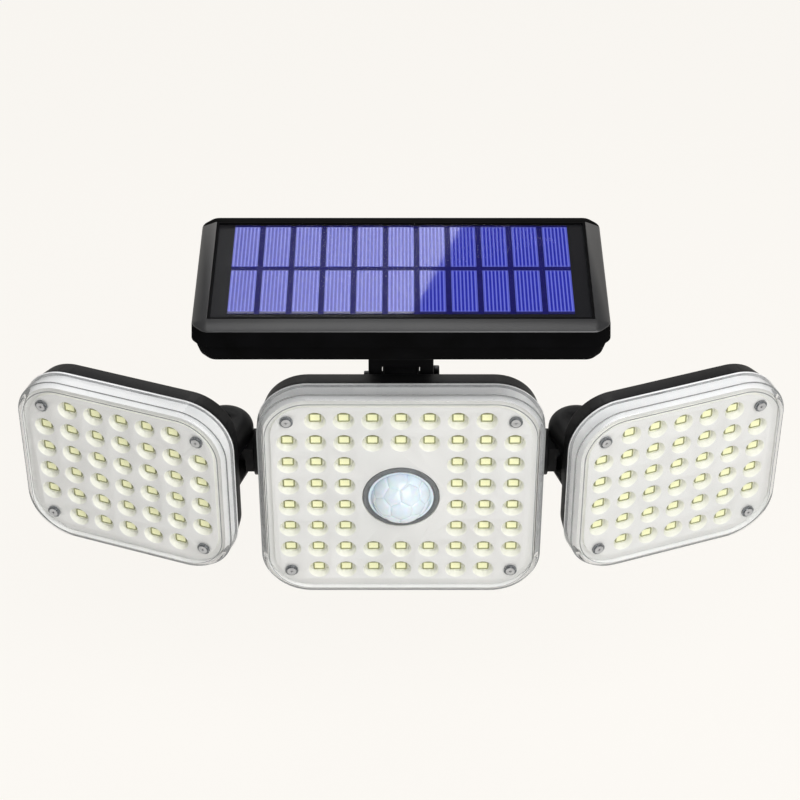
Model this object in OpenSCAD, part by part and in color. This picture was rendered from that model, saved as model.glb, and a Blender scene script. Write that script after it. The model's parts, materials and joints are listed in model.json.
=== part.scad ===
// Three-head solar security light for a wall.
// Row frame, in mm: the wall is the plane y = 0, +Y points into the wall, +Z is up
// and +X is to the right of someone who faces the light.
// Each light head is drawn lying on its back: X is its width, Y its height and
// Z runs forwards from the tops of its LEDs. A frame module then stands it up.

/* [Light heads] */
// Spacing of the LEDs along rows and columns
led_pitch = 11.5; // [10.5:0.1:13]
// From the outer LED column to the edge of the clear cover
rim_margin_x = 12.3; // [11:0.1:16]
// From the outer LED row to the edge of the clear cover
rim_margin_y = 12.75; // [11:0.1:16]
// Corner radius of the covers
cover_corner_r = 21; // [15:0.5:24]
// Depth of the clear cover, from its front face back to the seam
cover_depth = 9.7; // [8.5:0.1:12]
// How far the cover's front face stands in front of the LEDs
cover_above_leds = 3.7; // [3:0.1:5]
// Thickness of the cover's front face
cover_front_t = 1.3; // [1:0.1:1.6]
// Thickness of the cover's side wall
cover_wall = 2.2; // [1.6:0.1:2.4]
// Rounding of the cover's front edge
cover_edge_r = 3; // [1.5:0.25:3]
// Depth of a head's black housing behind the gasket
housing_depth = 9; // [8:0.1:12]
// Wall of the black housings
housing_wall = 2.2; // [1.8:0.1:2.6]
// How far a housing stands back from the cover's edge
housing_step = 0.5; // [0:0.1:1]
// How far a housing's sides slope in towards its back
housing_slope = 1.8; // [1:0.1:3]
// Rounding of a housing's back edge
housing_edge_r = 1; // [0.5:0.25:3]
// Thickness of the sealing gaskets
gasket_t = 0.6; // [0.4:0.1:1.2]
// How far a gasket's lip stands up inside the cover
gasket_lip_h = 2.1; // [1:0.1:2.6]
// Thickness of that lip and of the reflector's skirt above it
skirt_t = 1; // [0.8:0.1:1.4]

/* [LEDs and reflector] */
// Width of an LED package
led_w = 5; // [3.5:0.1:5]
// Height of an LED package
led_h = 4.2; // [2.8:0.1:4.2]
// Thickness of an LED package
led_t = 0.8; // [0.6:0.1:1]
// Width of the frame around an LED's yellow phosphor
led_frame = 0.4; // [0.2:0.05:0.7]
// Thickness of the LED boards
board_t = 1.6; // [1:0.1:2]
// Diameter of a reflector cup at its mouth
cup_mouth_d = 8.6; // [7.6:0.1:9.4]
// Diameter of a reflector cup at the board
cup_base_d = 6.9; // [6.8:0.05:7.2]
// Width of the moat between the cover's wall and the reflector's deck
moat_w = 3.3; // [2:0.1:4]
// Diameter of the cover screws
cover_screw_d = 2.9; // [2.2:0.1:3.2]
// Diameter of the cover screws' heads
cover_screw_head_d = 5.2; // [4.6:0.1:5.6]

/* [Motion sensor] */
// Diameter of the sensor dome at its foot
dome_d = 26.8; // [24:0.1:28]
// Height of the sensor dome above its collar
dome_h = 10.6; // [8:0.1:12]
// Wall of the sensor dome
dome_wall = 0.8; // [0.6:0.1:1.2]
// Width of the dark collar around the dome
collar_w = 2.15; // [1.5:0.05:2.5]
// Diameter of the sensor's metal can
sensor_d = 9.2; // [8:0.1:10]

/* [Battery pocket] */
// Depth of the pocket behind the centre housing
pocket_depth = 16.6; // [16:0.1:20]
// From each end of the battery out to the pocket's outer side
pocket_end = 13; // [12.5:0.5:14]
// Half of the pocket's height
pocket_half_y = 27; // [26:0.5:29]
// Diameter of the battery
battery_d = 18.6; // [18:0.1:20]
// Length of the battery
battery_l = 66; // [64:0.5:67]
// Diameter of the mode button
button_d = 8; // [6:0.5:9]
// How far the mode button stands out
button_proud = 1.2; // [0.9:0.1:2]
// How far the mode button travels
button_travel = 0.8; // [0.4:0.1:0.8]

/* [Side arms] */
// From the centre cover's edge out to the axis of a knuckle
knuckle_out = 15.3; // [15:0.1:20]
// From a side cover's edge in to the axis of its knuckle
knuckle_in = 16; // [14:0.5:20]
// From the back of a side housing to the axis of its knuckle
knuckle_behind = 16.9; // [15.5:0.1:20]
// Diameter of a knuckle
knuckle_d = 24; // [20:0.5:24]
// Height of a knuckle
knuckle_h = 26.4; // [24:0.2:30]
// Rounding of a knuckle's ends
knuckle_round = 5.5; // [1:0.5:6]
// How far the middle of a knuckle lies above the arms' axis
knuckle_lift = 1; // [0:0.5:2]
// Height of the arm's eye inside a knuckle
eye_h = 12.4; // [8:0.1:13]
// Diameter of the knuckle pins
yaw_pin_d = 5; // [4:0.5:6]
// Angle at which each side head is turned outwards
side_yaw = 19.9; // [12:0.1:28]
// Height of the middle of the side heads above the middle of the centre head
side_rise = 3.4; // [0:0.1:5]
// Height of the arms' axis above the middle of the centre head
arm_rise = 2.7; // [0:0.1:5]
// From the back of the centre housing to the arms' axis
arm_behind = 7.6; // [7:0.1:8.5]
// Diameter of an arm's stub
stub_d = 18.8; // [15:0.1:19]
// Diameter of an arm's trunnion
trunnion_d = 9; // [7:0.5:9]

/* [Solar panel] */
// Width of the solar panel
panel_w = 159.4; // [158.5:0.1:180]
// Depth of the solar panel, front to back
panel_d = 77; // [76:0.1:80]
// Size of the cut corners of the panel's frame
corner_cut = 5; // [3:0.5:7]
// Width of the bevel around the glass
bevel_w = 6.3; // [5.5:0.1:6.5]
// Drop of that bevel
bevel_drop = 1.9; // [1:0.1:2.2]
// How far the rim's sides slope out downwards
rim_slope = 0.4; // [0:0.1:1]
// Height of the panel's upright rim under the bevel
panel_rim_h = 7.1; // [7:0.1:10]
// Height of the panel's lower shell
panel_shell_h = 9; // [8:0.1:14]
// How far the lower shell stands back under the frame
shell_step = 0.8; // [0.5:0.1:1.5]
// How far the lower shell slopes in towards its bottom
shell_slope = 2.2; // [0.5:0.1:4]
// Size of the cut corners of the lower shell
shell_cut = 4.5; // [4.5:0.5:7]
// Wall of the panel's frame and of its lower shell
panel_wall = 2.4; // [2:0.1:2.6]
// Thickness of the panel's glass
glass_t = 0.8; // [0.8:0.1:2]
// Width of a solar cell
cell_w = 10; // [8:0.1:10.2]
// From the window's edge in to the solar cells, front and back
cell_margin = 2.8; // [2:0.1:5]
// Gap between cell columns
cell_gap_x = 2.2; // [1:0.1:2.2]
// Gap between the two cell rows
cell_gap_y = 2.8; // [1:0.1:2.8]
// How far the cells lie behind the middle of the glass
cell_shift = 1.7; // [0:0.1:1.8]

/* [Panel hinge] */
// From the panel's hinge axis up to its top face
panel_rise = 66.4; // [62:0.1:80]
// How far the middle of the panel lies in front of the hinge axis
panel_forward = 16.1; // [8:0.1:17]
// Width across the neck's two ears
neck_w = 26.5; // [26:0.5:32]
// Width of the slot between the ears
neck_slot_w = 15.6; // [12:0.1:16]
// Radius of the hinge's rounded ends
hinge_r = 9; // [8:0.5:9]
// Diameter of the hinge bolt
hinge_bolt_d = 5.6; // [4:0.1:6]
// Diameter of the hinge bolt's head
bolt_head_d = 10.2; // [8:0.1:12]
// Thickness of the nylon hinge washers
washer_t = 0.8; // [0.5:0.1:1.2]

/* [Wall mount] */
// From the wall out to the tops of the centre head's LEDs
wall_standoff = 68; // [66:1:80]
// How far the middle of the centre head lies above the middle of the wall plate
head_rise = 25; // [20:1:30]
// Width of the wall plate
plate_w = 64; // [62:1:80]
// Height of the wall plate
plate_h = 60; // [54:1:80]
// Thickness of the wall plate
plate_t = 3; // [2:0.5:4]
// Distance between the two wall screws
wall_screw_spacing = 46; // [44:1:50]
// Diameter of the wall screw holes
wall_hole_d = 4.5; // [4:0.5:5.5]
// Diameter of the screws that hold the bracket and the neck
mount_screw_d = 3; // [2.5:0.5:3.5]

/* [Hidden] */

$fn = 48;
eps = 0.01;

// Clearances: parts that only lie beside each other, parts that move past each
// other, and round parts that turn or sit in a hole (radial)
lie_gap = 0.1;
move_gap = 0.3;
fit_gap = 0.05;

// LED columns on each side of the middle one, and rows above and below the middle
centre_cols = 4;
centre_rows = 3.5;
side_cols = 3;
side_rows = 2.5;
// The dome takes the place of the LEDs within this many pitches of the middle
dome_reach = 2;

// Levels of a head's layers, forwards from the LED tops
front_z = cover_above_leds;
seam_z = front_z - cover_depth;
cover_in_z = front_z - cover_front_t;
deck_z = cover_in_z - lie_gap;
flange_z = 0.4;
board_front_z = -led_t;
board_back_z = board_front_z - board_t;
rim_z = seam_z - gasket_t;
back_z = rim_z - housing_depth;
floor_t = 2;
floor_z = back_z + floor_t;
rounding_steps = 3;

skirt_low_z = seam_z + gasket_lip_h + lie_gap;
skirt_in = cover_wall + move_gap;
board_in = skirt_in + skirt_t + move_gap;

// Cover screws: the heads sit in shallow recesses of the covers' front faces
screw_sink = 0.5;
screw_seat_z = front_z - screw_sink;
screw_head_t = 1.2;
screw_recess_gap = 0.2;
screw_post_d = 7;
screw_end_z = floor_z + 1.5;

// Motion sensor
dome_r = dome_d/2;
collar_z = deck_z;
dome_foot_z = collar_z - 0.5;
dome_ball_r = (pow(dome_r, 2) + pow(dome_h, 2))/(2*dome_h);
dome_tip_z = dome_foot_z + dome_h;
dome_hole_r = dome_r + 0.8;
collar_out_r = dome_r + fit_gap + collar_w;
collar_seat_r = collar_out_r + move_gap;
sensor_h = 4;

// Battery pocket behind the centre housing
pocket_half_x = battery_l/2 + pocket_end;
pocket_back_z = back_z - pocket_depth;
pocket_in_z = pocket_back_z + housing_wall;
pocket_in_x = pocket_half_x - housing_wall;
pocket_in_y = pocket_half_y - housing_wall;
pocket_corner_r = 8;
holder_t = 0.5;
holder_end = 3;
holder_h = 9.5;
battery_z = pocket_in_z + holder_t + battery_d/2;
battery_y = pocket_in_y - 1.5 - battery_d/2;
ctrl_w = 64;
ctrl_h = 24;
ctrl_post_h = 4.2;
ctrl_post_d = 5;
ctrl_post_x = ctrl_w/2 - 4;
ctrl_back_z = pocket_in_z + ctrl_post_h;
ctrl_front_z = ctrl_back_z + board_t;
button_x = ctrl_w/2 - 12;
button_z = ctrl_front_z + 2.4;
button_flange = 1.2;
button_flange_t = 1.2;
button_in_l = 0.6;
ctrl_y = button_flange_t + button_in_l + button_travel + 2*move_gap + ctrl_h/2 - pocket_in_y;
switch_size = 6;
switch_t = 4.4;
switch_nub_d = 3;
switch_nub_l = 1;
case_screw_x = pocket_in_x - 4.3;
case_screw_y = 17;
case_boss_d = 6;
case_boss_h = 7;

// Arms and knuckles
centre_half_x = centre_cols*led_pitch + rim_margin_x;
side_half_x = side_cols*led_pitch + rim_margin_x;
head_y = -wall_standoff;
head_z = head_rise;
arm_z = head_z + arm_rise;
knuckle_r = knuckle_d/2;
knuckle_x = centre_half_x + knuckle_out;
pocket_back_y = head_y - pocket_back_z;
arm_y = head_y - back_z + arm_behind;
knuckle_y = arm_y + 5.5;
boss_d = stub_d + 3;
boss_end_x = centre_half_x - 1.9;
seal_t = 0.6;
seal_x = boss_end_x + move_gap;
stub_x = seal_x + seal_t;
stub_end_x = knuckle_x - knuckle_r - 0.5;
clip_t = 1.2;
clip_r = trunnion_d/2 + 1.5;
clip_groove = 0.8;
clip_x = pocket_in_x - move_gap - clip_t;
trunnion_end_x = clip_x - 2.5;
arm_wire_d = 4;
eye_gap = 0.4;
ear_slot_h = eye_h + 2*eye_gap;
pivot_in = side_half_x - knuckle_in;
pivot_z = back_z - knuckle_behind;
pin_recess = 1;

// Solar panel, with z downwards from its top face. The laminate of glass, cells and
// backing lies on a ledge of the frame; the lower shell's edge goes into a groove.
window_half_x = panel_w/2 - bevel_w;
window_half_y = panel_d/2 - bevel_w;
glass_sink = 0.2;
cell_t = 0.3;
glass_bottom_z = -glass_sink - glass_t;
backing_top_z = glass_bottom_z - cell_t;
backing_t = 1.2;
ledge_z = backing_top_z - backing_t;
ledge_w = 3.2;
rim_bottom_z = -bevel_drop - panel_rim_h;
panel_seal_t = 0.8;
groove_h = 3.6;
groove_out = panel_wall;
tongue_step = groove_out + 2*move_gap;
groove_in = tongue_step + panel_wall + move_gap;
groove_top_z = rim_bottom_z + groove_h;
tongue_cut = corner_cut + 2*(groove_out - tongue_step) + 0.5;
tongue_in_cut = tongue_cut - (2 - sqrt(2))*panel_wall;
groove_in_cut = tongue_cut - (2 - sqrt(2))*(panel_wall + move_gap);
panel_bottom_z = rim_bottom_z - panel_shell_h;
shell_floor_t = 2.4;
shell_in = max(tongue_step, shell_step + shell_slope) + panel_wall;
cell_cols = 11;
cell_rows = 2;
cell_l = (2*(window_half_y - cell_margin) - (cell_rows - 1)*cell_gap_y)/cell_rows;
panel_screw_in = bevel_w + ledge_w + 3;
panel_block = 8;
post_d = 6.5;
mount_screw_tip = 6;

// Panel hinge, in the row frame
hinge_y = pocket_back_y - 2.2;
hinge_z = head_z + pocket_half_y + hinge_r + 1.1;
panel_y = hinge_y - panel_forward;
panel_z = hinge_z + panel_rise;
panel_under_z = panel_z + panel_bottom_z;
neck_front = 5;
neck_flange_t = 3;
neck_flange_x = 22;
neck_flange_y = 13;
neck_bridge = 1.5;
neck_screw_x = 17.5;
neck_screw_y = 9;
neck_top_z = panel_under_z - neck_flange_t;
tongue_w = neck_slot_w - 2*(washer_t + move_gap);
bolt_head_t = 2.5;
bolt_end = 2;
nut_t = 3;
nut_r = hinge_bolt_d/2 + 1.8;

// Wall mount, in the row frame
mount_head_d = mount_screw_d + 2.6;
mount_head_t = 1.8;
flange_t = 3;
flange_half_x = case_screw_x + 4;
flange_half_z = case_screw_y + 4;
key_half_x = 10;
key_half_z = 20;
key_t = 9;
cup_wall = 5;
cup_t = key_t + 2;
cup_half_x = key_half_x + move_gap + cup_wall;
cup_half_z = key_half_z + move_gap + cup_wall;
cup_front_y = -plate_t - move_gap - cup_t;
column_half_x = 15;
column_low_z = head_z - flange_half_z;
lock_screw_z = 12;
lock_screw_y = -plate_t - key_t/2;
lock_screw_l = cup_wall + 5;
spine_back_y = pocket_back_y + 15.5;
spine_shoulder_z = head_z + pocket_half_y;

function half_x(cols) = cols*led_pitch + rim_margin_x;
function half_y(rows) = rows*led_pitch + rim_margin_y;
function skips(i, j, cols, rows, dome) =
    (abs(i) == cols && abs(j) == rows) || (dome && abs(i) < dome_reach && abs(j) < dome_reach);
function led_spots(cols, rows, dome) =
    [for (i = [-cols:cols], j = [-rows:rows]) if (!skips(i, j, cols, rows, dome)) led_pitch*[i, j, 0]];
function corners(x, y) = [for (sx = [-1, 1], sy = [-1, 1]) [sx*x, sy*y, 0]];

// ---- shared shapes ----

module rounded_outline(hx, hy, r) {
    square([2*(hx - r), 2*hy], center = true);
    square([2*hx, 2*(hy - r)], center = true);
    for (p = corners(hx - r, hy - r)) translate(p) circle(r);
}

module rounded_plate(hx, hy, r, low, high) {
    translate([0, 0, low]) linear_extrude(high - low) rounded_outline(hx, hy, r);
}

// A rounded plate whose sides slope in by inset from its lower to its upper face
module sloped_plate(hx, hy, r, low, high, inset) {
    translate([0, 0, low]) {
        for (p = corners(hx - r, hy - r)) translate(p) cylinder(h = high - low, r1 = r, r2 = r - inset);
        rotate([90, 0, 90]) translate([0, 0, -(hx - r)]) linear_extrude(2*(hx - r))
            trapezoid(hy, hy - inset, high - low);
        rotate([90, 0, 0]) translate([0, 0, -(hy - r)]) linear_extrude(2*(hy - r))
            trapezoid(hx, hx - inset, high - low);
    }
}

module trapezoid(half_low, half_high, h) {
    polygon([[-half_low, 0], [half_low, 0], [half_high, h], [-half_high, h]]);
}

// A plate whose sides slope in by inset and whose upper edge is rounded in a few slopes
module round_top_plate(hx, hy, r, low, high, edge, inset = 0) {
    if (inset > 0) sloped_plate(hx, hy, r, low, high - edge, inset);
    else rounded_plate(hx, hy, r, low, high - edge);
    rounded_edge(hx - inset, hy - inset, r - inset, high, edge);
}

module rounded_edge(hx, hy, r, high, edge) {
    for (k = [0:rounding_steps - 1]) {
        a = 90*k/rounding_steps;
        b = 90*(k + 1)/rounding_steps;
        in_a = edge*(1 - cos(a));
        in_b = edge*(1 - cos(b));
        sloped_plate(hx - in_a, hy - in_a, r - in_a, high - edge + edge*sin(a) - eps,
                     high - edge + edge*sin(b), in_b - in_a);
    }
}

module ring(r_out, r_in, low, high) {
    translate([0, 0, low]) difference() {
        cylinder(h = high - low, r = r_out);
        translate([0, 0, -eps]) cylinder(h = high - low + 2*eps, r = r_in);
    }
}

module peg(r, low, high) {
    translate([0, 0, low]) cylinder(h = high - low, r = r);
}

// A pan-head screw along Z with its head on top of level seat
module screw(r, head_r, head_t, seat, tip) {
    peg(r, tip, seat);
    peg(head_r, seat, seat + head_t);
}

// ---- where things stand ----

module centre_frame() {
    translate([0, head_y, head_z]) rotate([90, 0, 0]) children();
}

// side is -1 for the left head and 1 for the right one
module side_frame(side) {
    translate([side*knuckle_x, knuckle_y, head_z + side_rise]) rotate([0, 0, side*side_yaw])
        translate([side*pivot_in, pivot_z, 0]) rotate([90, 0, 0]) children();
}

module panel_place() {
    translate([0, panel_y, panel_z]) children();
}

module on_side(side) {
    if (side < 0) mirror([1, 0, 0]) children();
    else children();
}

// ---- pieces that all three heads share ----

module head_cover(cols, rows, dome) {
    hx = half_x(cols);
    hy = half_y(rows);
    color("whitesmoke", 0.5) difference() {
        round_top_plate(hx, hy, cover_corner_r, seam_z, front_z, cover_edge_r);
        rounded_plate(hx - cover_wall, hy - cover_wall, cover_corner_r - cover_wall,
                      seam_z - eps, cover_in_z);
        for (p = led_pitch*corners(cols, rows)) translate(p) {
            peg(cover_screw_d/2 + fit_gap, cover_in_z - eps, front_z);
            peg(cover_screw_head_d/2 + screw_recess_gap, screw_seat_z, front_z + eps);
        }
        if (dome) peg(dome_hole_r, 0, front_z + eps);
    }
}

// A flat ring between cover and housing, with a lip that stands up inside the cover
module head_gasket(cols, rows) {
    hx = half_x(cols);
    hy = half_y(rows);
    in = skirt_in + skirt_t;
    lip_z = seam_z + gasket_lip_h;
    color("gray") difference() {
        union() {
            rounded_plate(hx - housing_step, hy - housing_step, cover_corner_r - housing_step,
                          rim_z, seam_z);
            rounded_plate(hx - skirt_in, hy - skirt_in, cover_corner_r - skirt_in, rim_z, lip_z);
        }
        rounded_plate(hx - in, hy - in, cover_corner_r - in, rim_z - eps, lip_z + eps);
    }
}

module head_board(cols, rows) {
    color("honeydew") difference() {
        rounded_plate(half_x(cols) - board_in, half_y(rows) - board_in, cover_corner_r - board_in,
                      board_back_z, board_front_z);
        for (p = led_pitch*corners(cols, rows))
            translate(p) peg(cover_screw_d/2 + fit_gap, board_back_z - eps, board_front_z + eps);
    }
}

module head_leds(cols, rows, dome) {
    body_top = -led_t/8;
    for (p = led_spots(cols, rows, dome)) translate(p) {
        color("darkkhaki") translate([-led_w/2, -led_h/2, -led_t]) cube([led_w, led_h, led_t + body_top]);
        color("khaki") translate([led_frame - led_w/2, led_frame - led_h/2, body_top - eps])
            cube([led_w - 2*led_frame, led_h - 2*led_frame, eps - body_top]);
    }
}

module head_reflector(cols, rows, dome) {
    in = skirt_in + skirt_t;
    deck_in = cover_wall + moat_w;
    hx = half_x(cols);
    hy = half_y(rows);
    cup_h = deck_z - board_front_z;
    color("gainsboro") difference() {
        union() {
            rounded_plate(hx - skirt_in, hy - skirt_in, cover_corner_r - skirt_in,
                          skirt_low_z, flange_z);
            rounded_plate(hx - deck_in, hy - deck_in, cover_corner_r - deck_in, board_front_z, deck_z);
        }
        rounded_plate(hx - in, hy - in, cover_corner_r - in, skirt_low_z - eps, board_front_z);
        for (p = led_spots(cols, rows, dome)) translate([p[0], p[1], board_front_z - eps])
            cylinder(h = cup_h + 2*eps, r1 = cup_base_d/2, r2 = cup_mouth_d/2);
        for (p = led_pitch*corners(cols, rows))
            translate(p) peg(cover_screw_d/2 + move_gap, board_front_z - eps, deck_z + eps);
        if (dome) peg(collar_seat_r, board_front_z - eps, deck_z + eps);
    }
}

module head_screws(cols, rows) {
    color("silver") for (p = led_pitch*corners(cols, rows)) translate(p)
        screw(cover_screw_d/2, cover_screw_head_d/2, screw_head_t, screw_seat_z, screw_end_z + 0.5);
}

// The black tray with its four screw posts, solid behind the given opening
module head_tray(cols, rows) {
    hx = half_x(cols) - housing_step;
    hy = half_y(rows) - housing_step;
    r = cover_corner_r - housing_step;
    w = housing_wall;
    translate([0, 0, back_z + rim_z]) mirror([0, 0, 1]) difference() {
        round_top_plate(hx, hy, r, back_z, rim_z, housing_edge_r, housing_slope);
        sloped_plate(hx - w, hy - w, r - w, back_z - eps, rim_z - floor_t, housing_slope);
    }
    for (p = led_pitch*corners(cols, rows)) translate(p) peg(screw_post_d/2, floor_z - eps, board_back_z);
}

module tray_screw_holes(cols, rows) {
    for (p = led_pitch*corners(cols, rows))
        translate(p) peg(cover_screw_d/2 + fit_gap, screw_end_z, board_back_z + eps);
}

// ---- centre head ----

module centre_housing() {
    color("black") centre_frame() difference() {
        union() {
            head_tray(centre_cols, centre_rows);
            translate([0, 0, pocket_back_z + back_z + eps]) mirror([0, 0, 1])
                round_top_plate(pocket_half_x, pocket_half_y, pocket_corner_r,
                                pocket_back_z, back_z + eps, housing_edge_r);
            for (side = [-1, 1]) translate([0, arm_rise, back_z - arm_behind]) rotate([0, side*90, 0])
                peg(boss_d/2, pocket_in_x + eps, boss_end_x);
        }
        difference() {
            rounded_plate(pocket_in_x, pocket_in_y, pocket_corner_r - housing_wall,
                          pocket_in_z, floor_z + eps);
            for (p = corners(case_screw_x, case_screw_y))
                translate(p) peg(case_boss_d/2, pocket_in_z - eps, pocket_in_z + case_boss_h);
            for (p = corners(ctrl_post_x, 0)) translate([p[0], ctrl_y, 0])
                peg(ctrl_post_d/2, pocket_in_z - eps, ctrl_back_z);
        }
        for (side = [-1, 1]) translate([0, arm_rise, back_z - arm_behind]) rotate([0, side*90, 0])
            peg(trunnion_d/2 + fit_gap, pocket_in_x - 1, boss_end_x + eps);
        for (p = corners(case_screw_x, case_screw_y)) translate(p)
            peg(mount_screw_d/2 + fit_gap, pocket_back_z - eps, pocket_in_z + case_boss_h - 1);
        translate([button_x, 0, button_z]) rotate([90, 0, 0])
            peg(button_d/2 + fit_gap, pocket_in_y - eps, pocket_half_y + eps);
        tray_screw_holes(centre_cols, centre_rows);
    }
}

module centre_gasket() {
    centre_frame() head_gasket(centre_cols, centre_rows);
}

module centre_lens() {
    centre_frame() head_cover(centre_cols, centre_rows, true);
}

module centre_led_board() {
    centre_frame() head_board(centre_cols, centre_rows);
}

module centre_leds() {
    centre_frame() head_leds(centre_cols, centre_rows, true);
}

module centre_reflector() {
    centre_frame() head_reflector(centre_cols, centre_rows, true);
}

module centre_screws() {
    centre_frame() head_screws(centre_cols, centre_rows);
}

module pir_dome() {
    ball_z = dome_tip_z - dome_ball_r;
    color("aliceblue", 0.9) centre_frame() {
        intersection() {
            translate([0, 0, ball_z]) difference() {
                sphere(dome_ball_r, $fn = 96);
                sphere(dome_ball_r - dome_wall, $fn = 96);
            }
            peg(dome_ball_r + 1, dome_foot_z, dome_tip_z + 1);
        }
        ring(dome_r, dome_r - dome_wall, board_front_z, dome_foot_z + eps);
    }
}

module pir_collar() {
    color("slategray") centre_frame()
        ring(collar_out_r, dome_r + fit_gap, board_front_z, collar_z);
}

module pir_sensor() {
    color("silver") centre_frame() {
        peg(sensor_d/2, board_front_z, board_front_z + sensor_h);
        peg(sensor_d/2 + 0.5, board_front_z, board_front_z + 0.5);
    }
}

module control_board() {
    chip_t = 1.8;
    cap_r = 4;
    cap_l = 7.5;
    centre_frame() {
        color("darkgreen") translate([-ctrl_w/2, ctrl_y - ctrl_h/2, ctrl_back_z])
            cube([ctrl_w, ctrl_h, board_t]);
        color("dimgray") {
            translate([-12, ctrl_y - 4, ctrl_front_z - eps]) cube([10, 8, chip_t + eps]);
            translate([3, ctrl_y + 2, ctrl_front_z - eps]) cube([5, 4, chip_t + eps]);
            translate([-24, ctrl_y, 0]) peg(cap_r, ctrl_front_z - eps, ctrl_front_z + cap_l);
        }
    }
}

module mode_switch() {
    nub_y = -pocket_in_y + button_in_l + button_flange_t + button_travel + move_gap;
    color("gray") centre_frame() {
        translate([button_x - switch_size/2, nub_y + switch_nub_l, ctrl_front_z])
            cube([switch_size, switch_size, switch_t]);
        translate([button_x, 0, button_z]) rotate([-90, 0, 0])
            peg(switch_nub_d/2, nub_y, nub_y + switch_nub_l + eps);
    }
}

module mode_button() {
    color("dimgray") centre_frame() translate([button_x, 0, button_z]) rotate([90, 0, 0]) {
        peg(button_d/2, pocket_in_y - button_flange_t, pocket_half_y + button_proud);
        peg(button_d/2 + button_flange, pocket_in_y - button_flange_t, pocket_in_y - lie_gap);
        peg(button_d/2 - 1, pocket_in_y - button_flange_t - button_in_l, pocket_in_y);
    }
}

module battery() {
    nub_l = 0.8;
    color("steelblue") centre_frame() translate([0, battery_y, battery_z]) rotate([0, 90, 0]) {
        peg(battery_d/2, -battery_l/2, battery_l/2 - nub_l);
        peg(2.8, battery_l/2 - nub_l - eps, battery_l/2);
    }
}

module battery_holder() {
    half_l = battery_l/2 + holder_end;
    half_w = battery_d/2 + 1.2;
    color("dimgray") centre_frame() difference() {
        translate([-half_l, battery_y - half_w, pocket_in_z]) cube([2*half_l, 2*half_w, holder_h]);
        translate([0, battery_y, battery_z]) rotate([0, 90, 0])
            peg(battery_d/2 + fit_gap, -battery_l/2 - lie_gap, battery_l/2 + lie_gap);
    }
}

// ---- wall mount ----

module wall_plate() {
    color("black") rotate([90, 0, 0]) difference() {
        union() {
            rounded_plate(plate_w/2, plate_h/2, 6, 0, plate_t);
            rounded_plate(key_half_x, key_half_z, 2, 0, plate_t + key_t);
        }
        for (side = [-1, 1]) {
            translate([side*wall_screw_spacing/2, 0, 0]) peg(wall_hole_d/2, -eps, plate_t + eps);
            for (z = [-1, 1]) translate([0, z*lock_screw_z, -lock_screw_y]) rotate([0, side*90, 0])
                peg(mount_screw_d/2 + fit_gap, key_half_x - 6, key_half_x + eps);
        }
    }
}

// The bracket's cup slips over the wall plate's key; its spine ends in the hinge tongue
module mount_bracket() {
    color("black") difference() {
        union() {
            rotate([90, 0, 0]) {
                translate([0, head_z, 0]) rounded_plate(flange_half_x, flange_half_z, 5,
                                                        -pocket_back_y - flange_t, -pocket_back_y);
                rounded_plate(cup_half_x, cup_half_z, 4, plate_t + move_gap, -cup_front_y);
            }
            translate([-column_half_x, pocket_back_y + eps, column_low_z])
                cube([2*column_half_x, cup_front_y - pocket_back_y, cup_half_z - column_low_z]);
            rotate([90, 0, 90]) translate([0, 0, -tongue_w/2]) linear_extrude(tongue_w) tongue_outline();
        }
        rotate([90, 0, 0])
            rounded_plate(key_half_x + move_gap, key_half_z + move_gap, 2, 0, plate_t + key_t + move_gap);
        for (side = [-1, 1], z = [-1, 1]) translate([0, lock_screw_y, z*lock_screw_z])
            rotate([0, side*90, 0]) peg(mount_screw_d/2 + fit_gap, key_half_x, cup_half_x + eps);
        for (p = corners(case_screw_x, case_screw_y)) translate([p[0], 0, head_z + p[1]]) rotate([90, 0, 0])
            peg(mount_screw_d/2 + fit_gap, -pocket_back_y - flange_t - eps, -pocket_back_y + eps);
        translate([0, hinge_y, hinge_z]) rotate([0, 90, 0])
            peg(hinge_bolt_d/2 + fit_gap, -tongue_w/2 - eps, tongue_w/2 + eps);
    }
}

// Side view of the spine: y across and z up
module tongue_outline() {
    translate([hinge_y, hinge_z]) circle(hinge_r);
    polygon([
        [pocket_back_y + 0.5, head_z],
        [spine_back_y, head_z],
        [spine_back_y, spine_shoulder_z],
        [hinge_y + hinge_r*cos(45), hinge_z + hinge_r*sin(45)],
        [hinge_y, hinge_z],
        [hinge_y, hinge_z - hinge_r],
        [pocket_back_y + 0.5, hinge_z - hinge_r]
    ]);
}

module bracket_screws() {
    color("silver") for (side = [-1, 1], z = [-1, 1])
        translate([0, lock_screw_y, z*lock_screw_z]) rotate([0, side*90, 0])
            screw(mount_screw_d/2, mount_head_d/2, mount_head_t, cup_half_x, cup_half_x - lock_screw_l);
}

module housing_screws() {
    seat = pocket_back_y + flange_t;
    color("silver") for (p = corners(case_screw_x, case_screw_y))
        translate([p[0], 0, head_z + p[1]]) rotate([-90, 0, 0])
            screw(mount_screw_d/2, mount_head_d/2, mount_head_t, seat, seat - flange_t - housing_wall - 5);
}

// ---- solar panel ----

// A rectangle with cut corners between two levels; its sides slope in by inset
module cut_plate(hx, hy, cut, low, high, inset, corner_inset) {
    h = high - low;
    reach = 2*(hx + hy);
    across = (hx + hy - cut)/sqrt(2);
    translate([0, 0, low]) intersection() {
        rotate([90, 0, 0]) translate([0, 0, -reach/2]) linear_extrude(reach)
            trapezoid(hx, hx - inset, h);
        rotate([90, 0, 90]) translate([0, 0, -reach/2]) linear_extrude(reach)
            trapezoid(hy, hy - inset, h);
        rotate([90, 0, 45]) translate([0, 0, -reach/2]) linear_extrude(reach)
            trapezoid(across, across - corner_inset, h);
        rotate([90, 0, 135]) translate([0, 0, -reach/2]) linear_extrude(reach)
            trapezoid(across, across - corner_inset, h);
    }
}

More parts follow.
